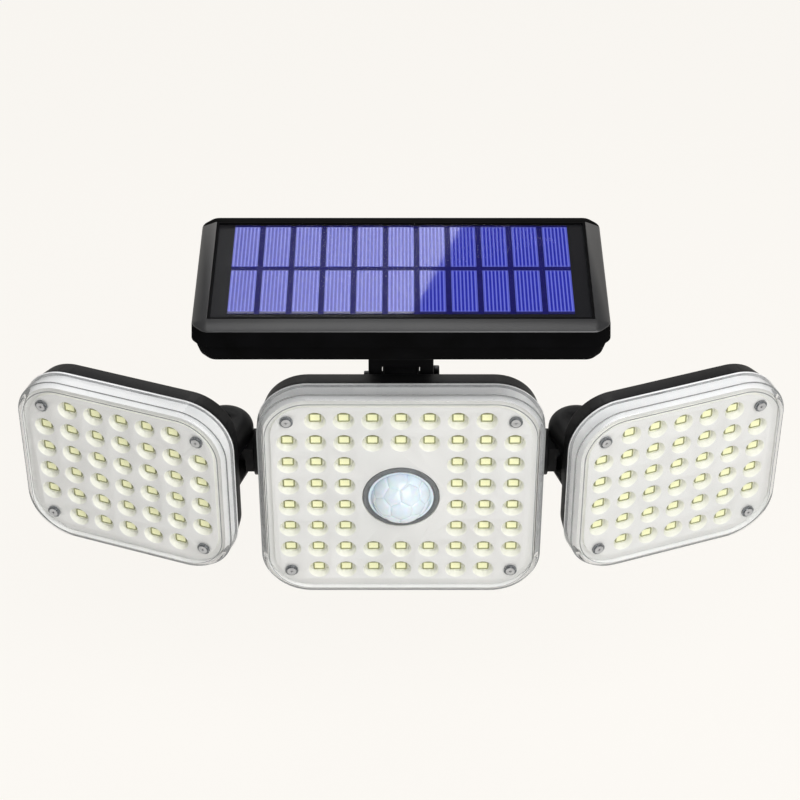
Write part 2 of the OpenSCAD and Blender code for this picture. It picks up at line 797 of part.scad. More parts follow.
module panel_frame() {
    hx = panel_w/2;
    hy = panel_d/2;
    open_x = window_half_x - ledge_w;
    open_y = window_half_y - ledge_w;
    color("dimgray") panel_place() difference() {
        union() {
            difference() {
                union() {
                    cut_plate(hx, hy, corner_cut, rim_bottom_z, -bevel_drop, rim_slope, rim_slope*sqrt(2));
                    cut_plate(hx - rim_slope, hy - rim_slope, corner_cut, -bevel_drop - eps, 0,
                              bevel_w - rim_slope, (2*(bevel_w - rim_slope) - corner_cut)/sqrt(2));
                }
                translate([-open_x, -open_y, rim_bottom_z - eps]) cube([2*open_x, 2*open_y, -rim_bottom_z]);
                difference() {
                    cut_plate(hx - groove_out, hy - groove_out, corner_cut, rim_bottom_z - eps, groove_top_z, 0, 0);
                    cut_plate(hx - groove_in, hy - groove_in, groove_in_cut,
                              rim_bottom_z - 2*eps, groove_top_z + eps, 0, 0);
                }
            }
            panel_screw_spots() translate([0, 0, rim_bottom_z])
                linear_extrude(ledge_z - rim_bottom_z) square(panel_block, center = true);
        }
        translate([-window_half_x, -window_half_y, ledge_z])
            cube([2*window_half_x, 2*window_half_y, 1 - ledge_z]);
        panel_screw_spots() peg(mount_screw_d/2 + fit_gap, rim_bottom_z - eps, ledge_z - 1);
    }
}

module panel_screw_spots() {
    for (p = corners(panel_w/2 - panel_screw_in, panel_d/2 - panel_screw_in)) translate(p) children();
}

module panel_glass() {
    color("lightblue", 0.4) panel_place()
        translate([lie_gap - window_half_x, lie_gap - window_half_y, glass_bottom_z])
            cube([2*(window_half_x - lie_gap), 2*(window_half_y - lie_gap), glass_t]);
}

module solar_cells() {
    step_x = cell_w + cell_gap_x;
    step_y = cell_l + cell_gap_y;
    color("midnightblue") panel_place() for (i = [0:cell_cols - 1], j = [0:cell_rows - 1])
        translate([(i - (cell_cols - 1)/2)*step_x - cell_w/2,
                   (j - (cell_rows - 1)/2)*step_y - cell_l/2 + cell_shift, backing_top_z])
            cube([cell_w, cell_l, cell_t]);
}

module cell_backing() {
    color("black") panel_place()
        translate([lie_gap - window_half_x, lie_gap - window_half_y, ledge_z])
            cube([2*(window_half_x - lie_gap), 2*(window_half_y - lie_gap), backing_t]);
}

module panel_seal() {
    color("gray") panel_place() tongue_ring(groove_top_z - panel_seal_t, groove_top_z);
}

// The part of the lower shell's wall that stands in the frame's groove, and its seal
module tongue_ring(low, high) {
    hx = panel_w/2 - tongue_step;
    hy = panel_d/2 - tongue_step;
    difference() {
        cut_plate(hx, hy, tongue_cut, low, high, 0, 0);
        cut_plate(hx - panel_wall, hy - panel_wall, tongue_in_cut, low - eps, high + eps, 0, 0);
    }
}

module panel_back() {
    hx = panel_w/2 - shell_step;
    hy = panel_d/2 - shell_step;
    floor_z = panel_bottom_z + shell_floor_t;
    color("black") panel_place() difference() {
        union() {
            difference() {
                translate([0, 0, panel_bottom_z + rim_bottom_z]) mirror([0, 0, 1])
                    cut_plate(hx, hy, shell_cut, panel_bottom_z, rim_bottom_z, shell_slope,
                              shell_slope*sqrt(2));
                cut_plate(panel_w/2 - shell_in, panel_d/2 - shell_in, shell_cut, floor_z,
                          rim_bottom_z + eps, 0, 0);
            }
            tongue_ring(rim_bottom_z - 2*eps, groove_top_z - panel_seal_t);
            panel_screw_spots() peg(post_d/2, floor_z - eps, rim_bottom_z);
            neck_spots() peg(post_d/2, floor_z - eps, panel_bottom_z + mount_screw_tip + 2);
        }
        panel_screw_spots() {
            peg(mount_screw_d/2 + fit_gap, panel_bottom_z - eps, rim_bottom_z + eps);
            peg(mount_head_d/2 + lie_gap, panel_bottom_z - eps, panel_bottom_z + mount_head_t);
        }
        neck_spots() peg(mount_screw_d/2 + fit_gap, panel_bottom_z - eps,
                         panel_bottom_z + mount_screw_tip + 0.5);
    }
}

module panel_screws() {
    color("silver") panel_place() panel_screw_spots() rotate([180, 0, 0])
        screw(mount_screw_d/2, mount_head_d/2, mount_head_t, -panel_bottom_z - mount_head_t,
              -ledge_z + 1.5);
}

// The four screws between the neck and the panel, on the panel's own axes
module neck_spots() {
    for (p = corners(neck_screw_x, neck_screw_y)) translate([p[0], p[1] + panel_forward, 0]) children();
}

module panel_neck() {
    slot_top = hinge_z + hinge_r + neck_bridge;
    color("black") difference() {
        union() {
            rotate([90, 0, 90]) translate([0, 0, -neck_w/2]) linear_extrude(neck_w) {
                translate([hinge_y, hinge_z]) circle(hinge_r);
                polygon([
                    [hinge_y - hinge_r, hinge_z],
                    [hinge_y + hinge_r, hinge_z],
                    [hinge_y + hinge_r, neck_top_z + eps],
                    [hinge_y - neck_front, neck_top_z + eps],
                    [hinge_y - neck_front, hinge_z + 2*hinge_r]
                ]);
            }
            translate([-neck_flange_x, hinge_y - neck_flange_y, neck_top_z])
                cube([2*neck_flange_x, 2*neck_flange_y, neck_flange_t]);
        }
        translate([-neck_slot_w/2, hinge_y - 2*hinge_r, hinge_z - 2*hinge_r])
            cube([neck_slot_w, 4*hinge_r, slot_top - hinge_z + 2*hinge_r]);
        translate([0, hinge_y, hinge_z]) rotate([0, 90, 0]) {
            peg(hinge_bolt_d/2 + fit_gap, -neck_w/2 - eps, neck_w/2 + eps);
            translate([0, 0, -neck_w/2 - eps]) cylinder(h = nut_t + eps, r = nut_r + lie_gap, $fn = 6);
        }
        translate([0, panel_y, 0]) neck_spots()
            peg(mount_screw_d/2 + fit_gap, neck_top_z - eps, panel_under_z + eps);
    }
}

module neck_screws() {
    color("silver") translate([0, panel_y, 0]) neck_spots() rotate([180, 0, 0])
        screw(mount_screw_d/2, mount_head_d/2, mount_head_t, -neck_top_z, -panel_under_z - mount_screw_tip);
}

module hinge_bolt() {
    color("dimgray") translate([0, hinge_y, hinge_z]) rotate([0, 90, 0])
        screw(hinge_bolt_d/2, bolt_head_d/2, bolt_head_t, neck_w/2, -neck_w/2 - bolt_end);
}

module hinge_nut() {
    color("dimgray") translate([0, hinge_y, hinge_z]) rotate([0, 90, 0]) translate([0, 0, -neck_w/2])
        difference() {
            cylinder(h = nut_t, r = nut_r, $fn = 6);
            peg(hinge_bolt_d/2 + fit_gap, -eps, nut_t + eps);
        }
}

module hinge_washers() {
    color("dimgray") for (side = [-1, 1]) translate([0, hinge_y, hinge_z]) rotate([0, side*90, 0])
        ring(hinge_r, hinge_bolt_d/2 + fit_gap, tongue_w/2, tongue_w/2 + washer_t);
}

// ---- side arms, drawn for the right and mirrored for the left ----

module arm(side) {
    color("black") on_side(side) difference() {
        union() {
            translate([0, arm_y, arm_z]) rotate([0, 90, 0]) {
                peg(trunnion_d/2, trunnion_end_x, stub_x + eps);
                peg(stub_d/2, stub_x, stub_end_x);
            }
            translate([stub_end_x - 1, knuckle_y - knuckle_r + 1, arm_z - eye_h/2])
                cube([knuckle_x - stub_end_x + 1, arm_y + stub_d/2 - knuckle_y + knuckle_r - 2, eye_h]);
            translate([knuckle_x, knuckle_y, arm_z]) peg(knuckle_r, -eye_h/2, eye_h/2);
        }
        translate([knuckle_x, knuckle_y, arm_z])
            peg(yaw_pin_d/2 + fit_gap, -eye_h/2 - eps, eye_h/2 + eps);
        translate([0, arm_y, arm_z]) rotate([0, 90, 0]) {
            peg(arm_wire_d/2, trunnion_end_x - eps, stub_x + 3);
            ring(trunnion_d, trunnion_d/2 - clip_groove, clip_x - lie_gap, clip_x + clip_t + lie_gap);
        }
    }
}

module arm_seal(side) {
    color("dimgray") on_side(side) translate([0, arm_y, arm_z]) rotate([0, 90, 0])
        ring(stub_d/2 - 0.4, trunnion_d/2 + fit_gap, seal_x, stub_x);
}

module arm_clip(side) {
    color("silver") on_side(side) translate([0, arm_y, arm_z]) rotate([0, 90, 0])
        ring(clip_r, trunnion_d/2 - clip_groove + fit_gap, clip_x, clip_x + clip_t);
}

module yaw_pin(side) {
    color("silver") on_side(side) translate([knuckle_x, knuckle_y, arm_z + knuckle_lift])
        peg(yaw_pin_d/2, pin_recess - knuckle_h/2, knuckle_h/2 - pin_recess);
}

// ---- side heads ----

// The knuckle's round end and the root that joins it to the housing
module knuckle_body() {
    rotate([90, 0, 0]) rotate_extrude() intersection() {
        rounded_outline(knuckle_r, knuckle_h/2, knuckle_round);
        translate([0, -knuckle_h]) square([knuckle_r + 1, 2*knuckle_h]);
    }
    linear_extrude(knuckle_behind + eps) rounded_outline(knuckle_r, knuckle_h/2, knuckle_round);
}

module side_housing(side) {
    sweep_r = knuckle_r + 0.6;
    color("black") side_frame(side) difference() {
        union() {
            head_tray(side_cols, side_rows);
            translate([-side*pivot_in, arm_rise + knuckle_lift - side_rise, pivot_z]) knuckle_body();
        }
        translate([-side*pivot_in, arm_rise - side_rise, pivot_z]) {
            rotate([90, 0, 0]) {
                peg(sweep_r, -ear_slot_h/2, ear_slot_h/2);
                peg(yaw_pin_d/2 + fit_gap, -knuckle_h, knuckle_h);
            }
            on_side(side) translate([-sweep_r, -ear_slot_h/2, -sweep_r])
                cube([sweep_r, ear_slot_h, 2*sweep_r]);
        }
        tray_screw_holes(side_cols, side_rows);
    }
}

module side_gasket(side) {
    side_frame(side) head_gasket(side_cols, side_rows);
}

module side_lens(side) {
    side_frame(side) head_cover(side_cols, side_rows, false);
}

module side_board(side) {
    side_frame(side) head_board(side_cols, side_rows);
}

module side_leds(side) {
    side_frame(side) head_leds(side_cols, side_rows, false);
}

module side_reflector(side) {
    side_frame(side) head_reflector(side_cols, side_rows, false);
}

module side_screws(side) {
    side_frame(side) head_screws(side_cols, side_rows);
}

// ---- the assembly ----

wall_plate();
mount_bracket();
bracket_screws();
housing_screws();
centre_housing();
centre_gasket();
centre_lens();
centre_led_board();
centre_leds();
centre_reflector();
centre_screws();
pir_dome();
pir_collar();
pir_sensor();
control_board();
mode_switch();
mode_button();
battery();
battery_holder();
panel_frame();
panel_glass();
solar_cells();
cell_backing();
panel_seal();
panel_back();
panel_screws();
panel_neck();
neck_screws();
hinge_bolt();
hinge_nut();
hinge_washers();
arm(-1);  // left_arm
arm_seal(-1);  // left_arm_seal
arm_clip(-1);  // left_arm_clip
yaw_pin(-1);  // left_yaw_pin
side_housing(-1);  // left_housing
side_gasket(-1);  // left_gasket
side_lens(-1);  // left_lens
side_board(-1);  // left_led_board
side_leds(-1);  // left_leds
side_reflector(-1);  // left_reflector
side_screws(-1);  // left_screws
arm(1);  // right_arm
arm_seal(1);  // right_arm_seal
arm_clip(1);  // right_arm_clip
yaw_pin(1);  // right_yaw_pin
side_housing(1);  // right_housing
side_gasket(1);  // right_gasket
side_lens(1);  // right_lens
side_board(1);  // right_led_board
side_leds(1);  // right_leds
side_reflector(1);  // right_reflector
side_screws(1);  // right_screws
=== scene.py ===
"""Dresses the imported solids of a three-head solar security light for rendering."""

import contextlib
import itertools
import json
import math

import bmesh
import bpy
from mathutils import Matrix, Vector


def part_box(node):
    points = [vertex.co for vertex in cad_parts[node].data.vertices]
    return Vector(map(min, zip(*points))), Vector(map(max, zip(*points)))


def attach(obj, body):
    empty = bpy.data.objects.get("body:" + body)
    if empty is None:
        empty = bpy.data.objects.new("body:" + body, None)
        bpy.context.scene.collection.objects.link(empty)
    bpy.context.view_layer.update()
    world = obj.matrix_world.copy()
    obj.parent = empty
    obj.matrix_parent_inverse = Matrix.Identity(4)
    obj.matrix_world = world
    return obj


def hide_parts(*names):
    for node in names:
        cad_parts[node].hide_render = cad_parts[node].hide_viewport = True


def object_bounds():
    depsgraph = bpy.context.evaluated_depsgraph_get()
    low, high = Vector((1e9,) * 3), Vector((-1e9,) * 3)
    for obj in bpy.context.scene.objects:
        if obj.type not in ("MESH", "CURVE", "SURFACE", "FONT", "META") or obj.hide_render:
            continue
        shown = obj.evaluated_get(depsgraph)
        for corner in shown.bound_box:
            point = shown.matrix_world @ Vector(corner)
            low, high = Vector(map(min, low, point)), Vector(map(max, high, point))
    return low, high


bl_info = {
    "name": "Solar Security Light",
    "version": (1, 0, 0),
    "blender": (4, 5, 0),
    "location": "View3D > Sidebar > Security Light",
    "description": "Models and finishes the pieces of a solar security light",
    "category": "Add Mesh",
}

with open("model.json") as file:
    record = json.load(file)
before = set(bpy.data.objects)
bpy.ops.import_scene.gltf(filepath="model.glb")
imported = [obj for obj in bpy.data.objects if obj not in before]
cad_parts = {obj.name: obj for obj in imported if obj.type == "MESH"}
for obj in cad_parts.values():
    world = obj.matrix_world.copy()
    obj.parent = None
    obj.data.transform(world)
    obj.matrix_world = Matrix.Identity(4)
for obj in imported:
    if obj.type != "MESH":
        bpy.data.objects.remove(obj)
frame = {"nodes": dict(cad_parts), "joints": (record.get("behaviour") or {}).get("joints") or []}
CAD_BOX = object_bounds()
JOINTS = {joint["name"]: joint for joint in frame["joints"]}

MM = 0.001
TINY = 0.01 * MM

# Each head's LED columns and rows beside the middle, its side of the light and its body
HEADS = {
    "centre": {"cols": 4, "rows": 3.5, "side": 0, "body": "base"},
    "left": {"cols": 3, "rows": 2.5, "side": -1, "body": "left_head"},
    "right": {"cols": 3, "rows": 2.5, "side": 1, "body": "right_head"},
}
# Levels in a head, forwards from the tops of its LEDs
COVER_FRONT = 3.7 * MM
COVER_INSIDE = 2.4 * MM
COVER_SEAM = -6.0 * MM
BOARD_FRONT = -0.8 * MM
SCREW_SEAT = 3.2 * MM
DOME_FOOT = 1.8 * MM
# From a side head's knuckle to the middle of its LEDs
HEAD_OUT, HEAD_FORWARDS = 30.8 * MM, 32.5 * MM
# Sockets of a Mix node that mixes colours
FACTOR, FIRST, SECOND, MIXED = 0, 6, 7, 2


def linear(hex_colour):
    """An sRGB hex colour as Blender's linear colour."""
    parts = [int(hex_colour[i:i + 2], 16) / 255 for i in (0, 2, 4)]
    return [p / 12.92 if p <= 0.04045 else ((p + 0.055) / 1.055) ** 2.4 for p in parts] + [1]


def colour_setting(name, about, hex_colour):
    return bpy.props.FloatVectorProperty(name=name, description=about, subtype="COLOR", size=4,
                                         min=0, max=1, default=linear(hex_colour))


def length_setting(name, about, metres):
    return bpy.props.FloatProperty(name=name, description=about, default=metres, unit="LENGTH",
                                   precision=4)


# ---- settings that a user would change ----


class HeadSettings(bpy.types.PropertyGroup):
    """Sizes that the three light heads share."""

    led_pitch: length_setting("LED spacing", "Spacing of the LEDs along rows and columns",
                              11.5 * MM)
    margin_x: length_setting("Side margin", "From the outer LED column to the cover's edge",
                             12.3 * MM)
    margin_y: length_setting("Top margin", "From the outer LED row to the cover's edge",
                             12.75 * MM)
    corner: length_setting("Corner radius", "Corner radius of the clear covers", 21 * MM)
    cover_edge: length_setting("Cover edge", "Rounding of the cover's front edge", 2.6 * MM)
    yaw: bpy.props.FloatProperty(
        name="Side head turn", description="Angle at which the side heads are turned out",
        default=math.radians(19.9), subtype="ANGLE")


class PanelSettings(bpy.types.PropertyGroup):
    """Sizes of the solar panel."""

    bevel: length_setting("Bevel width", "Width of the bevel around the glass", 6.3 * MM)
    bevel_drop: length_setting("Bevel drop", "How far the bevel falls outwards", 1.9 * MM)
    rim_height: length_setting("Rim height", "Height of the upright rim under the bevel", 7.1 * MM)
    corner: length_setting("Cut corner", "Size of the cut corners", 5 * MM)
    corner_round: length_setting("Corner rounding", "Rounding of the cut corners' edges", 1.8 * MM)
    cell_width: length_setting("Cell width", "Width of a solar cell", 10 * MM)
    cell_step: length_setting("Cell spacing", "From one solar cell to the next", 12.2 * MM)
    fingers: bpy.props.IntProperty(
        name="Fingers", description="Pale lines on a solar cell", default=7, min=1)


class ColourSettings(bpy.types.PropertyGroup):
    """The light's main colours."""

    housing: colour_setting("Housing", "Black plastic of the housings", "141415")
    # Bezel: the grey of the front and side bevels, painted sheen on the frame's black plastic
    bezel: colour_setting("Bezel", "Plastic of the solar panel's frame", "272728")
    reflector: colour_setting("Reflector", "Plastic of the reflectors", "DFDFDD")
    phosphor: colour_setting("Phosphor", "Faces of the LEDs", "FCFCD2")
    cells: colour_setting("Solar cells", "Silicon between the pale lines", "1D24A2")
    backdrop: colour_setting("Backdrop", "Paper of the floor", "FDFAF5")


class LightSettings(bpy.types.PropertyGroup):
    """All settings of the light."""

    heads: bpy.props.PointerProperty(type=HeadSettings)
    panel: bpy.props.PointerProperty(type=PanelSettings)
    colours: bpy.props.PointerProperty(type=ColourSettings)


def settings():
    return bpy.context.scene.security_light


# ---- modelling helpers ----


def clear_selection():
    if bpy.context.object and bpy.context.object.mode != "OBJECT":
        bpy.ops.object.mode_set(mode="OBJECT")
    bpy.ops.object.select_all(action="DESELECT")


def choose(*objects):
    """Selects these objects alone, and makes the first one active."""
    clear_selection()
    for obj in objects:
        obj.select_set(True)
    bpy.context.view_layer.objects.active = objects[0]


def start(name, primitive, **sizes):
    clear_selection()
    primitive(**sizes)
    obj = bpy.context.object
    obj.name = name
    obj.data.name = name
    return obj


@contextlib.contextmanager
def editing(obj):
    choose(obj)
    bpy.ops.object.mode_set(mode="EDIT")
    bpy.ops.mesh.select_all(action="DESELECT")
    yield
    bpy.ops.object.mode_set(mode="OBJECT")


def middle(item):
    """The average of an edge's or a face's corners."""
    return sum((vert.co for vert in item.verts), Vector()) / len(item.verts)


def spans(item, low, high):
    """Tells whether an edge or a face reaches from one height to another."""
    levels = [vert.co.z for vert in item.verts]
    return abs(min(levels) - low) < TINY and abs(max(levels) - high) < TINY


def pick(obj, kind, test):
    """Selects the vertices, edges or faces of the mesh in edit mode that pass the test."""
    bpy.ops.mesh.select_mode(type=kind)
    bpy.ops.mesh.select_all(action="DESELECT")
    mesh = bmesh.from_edit_mesh(obj.data)
    items = {"VERT": mesh.verts, "EDGE": mesh.edges, "FACE": mesh.faces}[kind]
    for item in items:
        if test(item):
            item.select_set(True)
    bmesh.update_edit_mesh(obj.data)


def pick_level(obj, kind, level):
    """Selects the edges or the faces that lie at one height."""
    pick(obj, kind, lambda item: spans(item, level, level))


def pick_all(kind="FACE"):
    """Selects the whole mesh in edit mode."""
    bpy.ops.mesh.select_mode(type=kind)
    bpy.ops.mesh.select_all(action="SELECT")


def extrude(rise):
    bpy.ops.mesh.extrude_region_move(TRANSFORM_OT_translate={"value": (0, 0, rise)})


def inset(width, rise=0):
    bpy.ops.mesh.inset(thickness=width, depth=rise)


def round_level(obj, level, width, segments=2):
    """Rounds the edges that lie at one height."""
    pick_level(obj, "EDGE", level)
    bpy.ops.mesh.bevel(offset=width, segments=segments, affect="EDGES")


def face_outwards():
    """Turns the normals of the mesh in edit mode outwards."""
    pick_all()
    bpy.ops.mesh.normals_make_consistent(inside=False)


def place(obj, matrix):
    """Moves a finished mesh into the row frame and leaves its object at the origin."""
    obj.matrix_world = matrix @ obj.matrix_world
    choose(obj)
    bpy.ops.object.transform_apply(location=True, rotation=True, scale=True)


def finish_modifier(obj, kind, **values):
    choose(obj)
    modifier = obj.modifiers.new(kind.title(), kind)
    for key, value in values.items():
        setattr(modifier, key, value)
    bpy.ops.object.modifier_apply(modifier=modifier.name)


def cut(obj, *tools, operation="DIFFERENCE"):
    """Cuts the tools' shapes out of an object, or adds them to it, and removes the tools."""
    for tool in tools:
        finish_modifier(obj, "BOOLEAN", object=tool, operation=operation, solver="EXACT")
        bpy.data.objects.remove(tool)


def join(name, objects):
    choose(*objects)
    bpy.ops.object.join()
    objects[0].name = name
    objects[0].data.name = name
    return objects[0]


def smooth(obj, degrees=32):
    choose(obj)
    bpy.ops.object.shade_smooth_by_angle(angle=math.radians(degrees))


def copy_to(obj, spot):
    """A copy whose origin lies at this spot."""
    choose(obj)
    bpy.ops.object.duplicate()
    twin = bpy.context.object
    twin.location = Vector(spot)
    bpy.ops.object.transform_apply(location=True, rotation=False, scale=False)
    return twin


def put(name, data):
    """Puts an object with this data into the scene."""
    obj = bpy.data.objects.new(name, data)
    bpy.context.scene.collection.objects.link(obj)
    return obj


def plate(name, half_x, half_y, *corner_cuts, level=0, rise=0):
    """A sheet, or a closed slab if it has a rise, with its corners cut by width and segments."""
    obj = start(name, bpy.ops.mesh.primitive_plane_add, size=2, location=(0, 0, 0))
    with editing(obj):
        pick_all("VERT")
        bpy.ops.transform.resize(value=(half_x, half_y, 1))
        bpy.ops.transform.translate(value=(0, 0, level))
        for width, segments in corner_cuts:
            pick_all("VERT")
            bpy.ops.mesh.bevel(offset=width, segments=segments, affect="VERTICES")
        if rise:
            pick_all()
            extrude(rise)
            face_outwards()
    return obj


def rounded_slab(name, half_x, half_y, radius, segments, low, high):
    """A closed slab with rounded corners between two levels."""
    return plate(name, half_x, half_y, (radius, segments), level=low, rise=high - low)


def block(name, size, spot=(0, 0, 0)):
    """A closed box of this size around a spot."""
    obj = start(name, bpy.ops.mesh.primitive_cube_add, size=1, location=spot)
    with editing(obj):
        pick_all()
        bpy.ops.transform.resize(value=size)
    return obj


def rod(name, radius, low, high, spot=(0, 0), sides=40):
    """A closed upright cylinder between two levels, with its origin in its middle."""
    return start(name, bpy.ops.mesh.primitive_cylinder_add, vertices=sides, radius=radius,
                 depth=high - low, location=(spot[0], spot[1], (low + high) / 2))


def soften(node, width):
    """A merged copy of a solid of the frame whose sharp edges are rounded."""
    flat, sharp = math.radians(0.5), math.radians(35)
    obj = put(node + "_soft", frame["nodes"][node].data.copy())
    obj.data.name = obj.name
    with editing(obj):
        bpy.ops.mesh.select_all(action="SELECT")
        bpy.ops.mesh.remove_doubles(threshold=TINY)
        bpy.ops.mesh.dissolve_limited(angle_limit=flat)
    finish_modifier(obj, "BEVEL", width=width, segments=2, limit_method="ANGLE",
                    angle_limit=sharp, use_clamp_overlap=False)
    smooth(obj)
    return obj


def give(obj, *looks):
    """Gives an object the finishes of its material slots."""
    obj.data.materials.clear()
    for look in looks:
        obj.data.materials.append(finish(look))


def assign(obj, slot, test):
    """Gives the faces that pass the test the finish of one of the object's material slots."""
    with editing(obj):
        pick(obj, "FACE", test)
        obj.active_material_index = slot
        bpy.ops.object.material_slot_assign()


def dress(obj, body, slot, *nodes):
    """Puts a finished piece on its body and in place of its nodes; the slot is not used."""
    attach(obj, body)
    if nodes:
        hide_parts(*nodes)


# ---- where things stand ----


def corners(x, y):
    """The corners of a rectangle around the origin."""
    return [(sx * x, sy * y) for sx in (-1, 1) for sy in (-1, 1)]


def measure(node):
    """The middle and the half size of a solid's box."""
    low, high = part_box(node)
    return (low + high) / 2, (high - low) / 2


def head_matrix(head):
    """From a head lying on its back, with Z forwards, to its place in the row frame."""
    side = HEADS[head]["side"]
    low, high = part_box(head + "_lens")
    stand_up = Matrix.Rotation(math.radians(90), 4, "X")
    height = (low.z + high.z) / 2
    if side == 0:
        return Matrix.Translation((0, low.y + COVER_FRONT, height)) @ stand_up
    pivot = Vector(JOINTS[head + "_head_yaw"]["pos_m"])
    turn = Matrix.Rotation(side * settings().heads.yaw, 4, "Z")
    to_head = Matrix.Translation((side * HEAD_OUT, -HEAD_FORWARDS, 0))
    return Matrix.Translation((pivot.x, pivot.y, height)) @ turn @ to_head @ stand_up


def corner_spots(head):
    pitch = settings().heads.led_pitch
    return corners(HEADS[head]["cols"] * pitch, HEADS[head]["rows"] * pitch)


def led_spots(head):
    pitch = settings().heads.led_pitch
    cols, rows = HEADS[head]["cols"], HEADS[head]["rows"]
    dome_reach = 2
    spots = []
    for i in range(2 * cols + 1):
        for j in range(int(2 * rows) + 1):
            across, up = i - cols, j - rows
            corner = abs(across) == cols and abs(up) == rows
            dome = head == "centre" and abs(across) < dome_reach and abs(up) < dome_reach
            if not corner and not dome:
                spots.append((across * pitch, up * pitch))
    return spots


# ---- materials ----


def start_of(source):
    """Where a link starts: at the given socket, or at a node's first output."""
    return source if isinstance(source, bpy.types.NodeSocket) else source.outputs[0]


def add(tree, kind, options=None, values=None, links=None):
    """Adds a shader node with its options, its sockets' values and its links."""
    made = tree.nodes.new("ShaderNode" + kind)
    for key, value in (options or {}).items():
        setattr(made, key, value)
    for socket, value in (values or {}).items():
        made.inputs[socket].default_value = value
    for socket, source in (links or {}).items():
        tree.links.new(start_of(source), made.inputs[socket])
    return made


class Finish:
    """A material with its node tree, its shader and the place on the piece."""

    def __init__(self, name, **values):
        self.material = bpy.data.materials.new(name)
        self.material.use_nodes = True
        self.tree = self.material.node_tree
        self.tree.nodes.clear()
        self.shader = add(self.tree, "BsdfPrincipled",
                          values={key.replace("_", " "): value for key, value in values.items()})
        self.output = add(self.tree, "OutputMaterial", links={"Surface": self.shader})
        self.spot = add(self.tree, "TexCoord").outputs["Object"]

    def feed(self, socket, source):
        """Lets a node or a socket drive one of the shader's inputs."""
        self.tree.links.new(start_of(source), self.shader.inputs[socket])

    def mix_in(self, share, other):
        """Mixes another shader into the surface."""
        mix = add(self.tree, "MixShader", links={0: share, 1: self.shader, 2: other})
        self.tree.links.new(mix.outputs[0], self.output.inputs["Surface"])

    def mottle(self, first, second, size, detail=2.0):
        """Lets the colour wander between two tints, hex or linear, in clouds of this size."""
        clouds = add(self.tree, "TexNoise", values={"Scale": 1 / size, "Detail": detail},
                     links={"Vector": self.spot})
        tints = add(self.tree, "ValToRGB", links={"Fac": clouds})
        for element, position, tint in zip(tints.color_ramp.elements, (0.3, 0.7), (first, second)):
            element.position = position
            element.color = linear(tint) if isinstance(tint, str) else tint
        self.feed("Base Color", tints)
        return tints

    def uneven_gloss(self, low, high, size):
        """Lets the roughness wander between two values in spots of this size."""
        spots = add(self.tree, "TexNoise", values={"Scale": 1 / size}, links={"Vector": self.spot})
        gloss = add(self.tree, "MapRange", links={"Value": spots},
                    values={"From Min": 0.3, "From Max": 0.7, "To Min": low, "To Max": high})
        self.feed("Roughness", gloss)

    def grain(self, size, height):
        """Raises a fine grain of this size and height."""
        grains = add(self.tree, "TexNoise", values={"Scale": 1 / size}, links={"Vector": self.spot})
        bump = add(self.tree, "Bump", links={"Height": grains},
                   values={"Distance": height, "Strength": 1.0})
        self.feed("Normal", bump)

    def let_lamps_through(self, tint):
        """Lets the lamps' light pass straight through, so that what lies behind is lit."""
        path = add(self.tree, "LightPath")
        either = add(self.tree, "Math", {"operation": "MAXIMUM"},
                     links={0: path.outputs["Is Shadow Ray"], 1: path.outputs["Is Diffuse Ray"]})
        self.mix_in(either, add(self.tree, "BsdfTransparent", values={"Color": tint}))


def moulded_black():
    """Moulded ABS with a spark-eroded grain, which keeps the black dull and even."""
    look = Finish("Moulded black ABS", Specular_IOR_Level=0.12)
    look.mottle(settings().colours.housing, "19191A", 14 * MM)
    look.uneven_gloss(0.42, 0.52, 0.6 * MM)
    look.grain(0.5 * MM, 0.02 * MM)
    return look


def matt_frame_plastic():
    """Moulded ABS with a coarser grain: nearly black walls with hardly any sheen."""
    look = Finish("Textured black ABS", Specular_IOR_Level=0.004)
    look.mottle("090909", "0D0D0E", 10 * MM)
    look.uneven_gloss(0.48, 0.58, 0.6 * MM)
    look.grain(0.5 * MM, 0.02 * MM)
    return look


def bezel_painted_sheen():
    """ABS from a polished mould with a satin gloss; its grey, lighter than the frame's black, is
    painted sheen on the front and side bevels.
    """
    look = Finish("Satin black ABS, painted sheen", Specular_IOR_Level=0.6)
    look.mottle(settings().colours.bezel, "2B2B2C", 12 * MM)
    look.uneven_gloss(0.28, 0.34, 1.5 * MM)
    look.grain(0.5 * MM, 0.004 * MM)
    return look


def clear_polycarbonate():
    """Injection-moulded polycarbonate: thin, clear walls that hardly bend the light."""
    look = Finish("Clear polycarbonate", Roughness=0.02, IOR=1.04, Transmission_Weight=1.0,
                  Coat_Weight=0.6, Coat_Roughness=0.03, Coat_IOR=1.5)
    look.mottle("FBFCFC", "FFFFFF", 30 * MM)
    look.let_lamps_through(linear("FDFDFD"))
    return look


def frosted_polycarbonate_and_highlight():
    """The same plastic from an etched mould on the cover's inner side walls, which look white; the
    white band of its rim along the seam is a painted highlight.
    """
    look = Finish("Frosted polycarbonate, painted highlight at the seam", Roughness=0.5, Specular_IOR_Level=0.3)
    look.mottle("F8F9F9", "FCFCFC", 8 * MM)
    return look


def polycarbonate_shade_lines():
    """Thin grey lines round the cover, at its step and its front ring: painted shade where the
    clear wall's steps bend the light.
    """
    look = Finish("Polycarbonate, painted shade lines", Roughness=0.6)
    look.mottle("808282", "8C8E8E", 4 * MM)
    return look


def reflector_white():
    """White moulded polypropylene: bright and even, with a soft gloss."""
    look = Finish("White polypropylene")
    look.mottle(settings().colours.reflector, "E3E3E1", 20 * MM)
    look.uneven_gloss(0.36, 0.46, 2 * MM)
    return look


def polished_white_painted_light():
    """The same plastic where the mould is polished: the LEDs' cups throw the light forwards. Its
    white, lighter than the deck's, is painted light on the cups' walls.
    """
    look = Finish("Polished white polypropylene, painted light", Roughness=0.2)
    look.mottle("F4F4EC", "F8F8F0", 20 * MM)
    return look


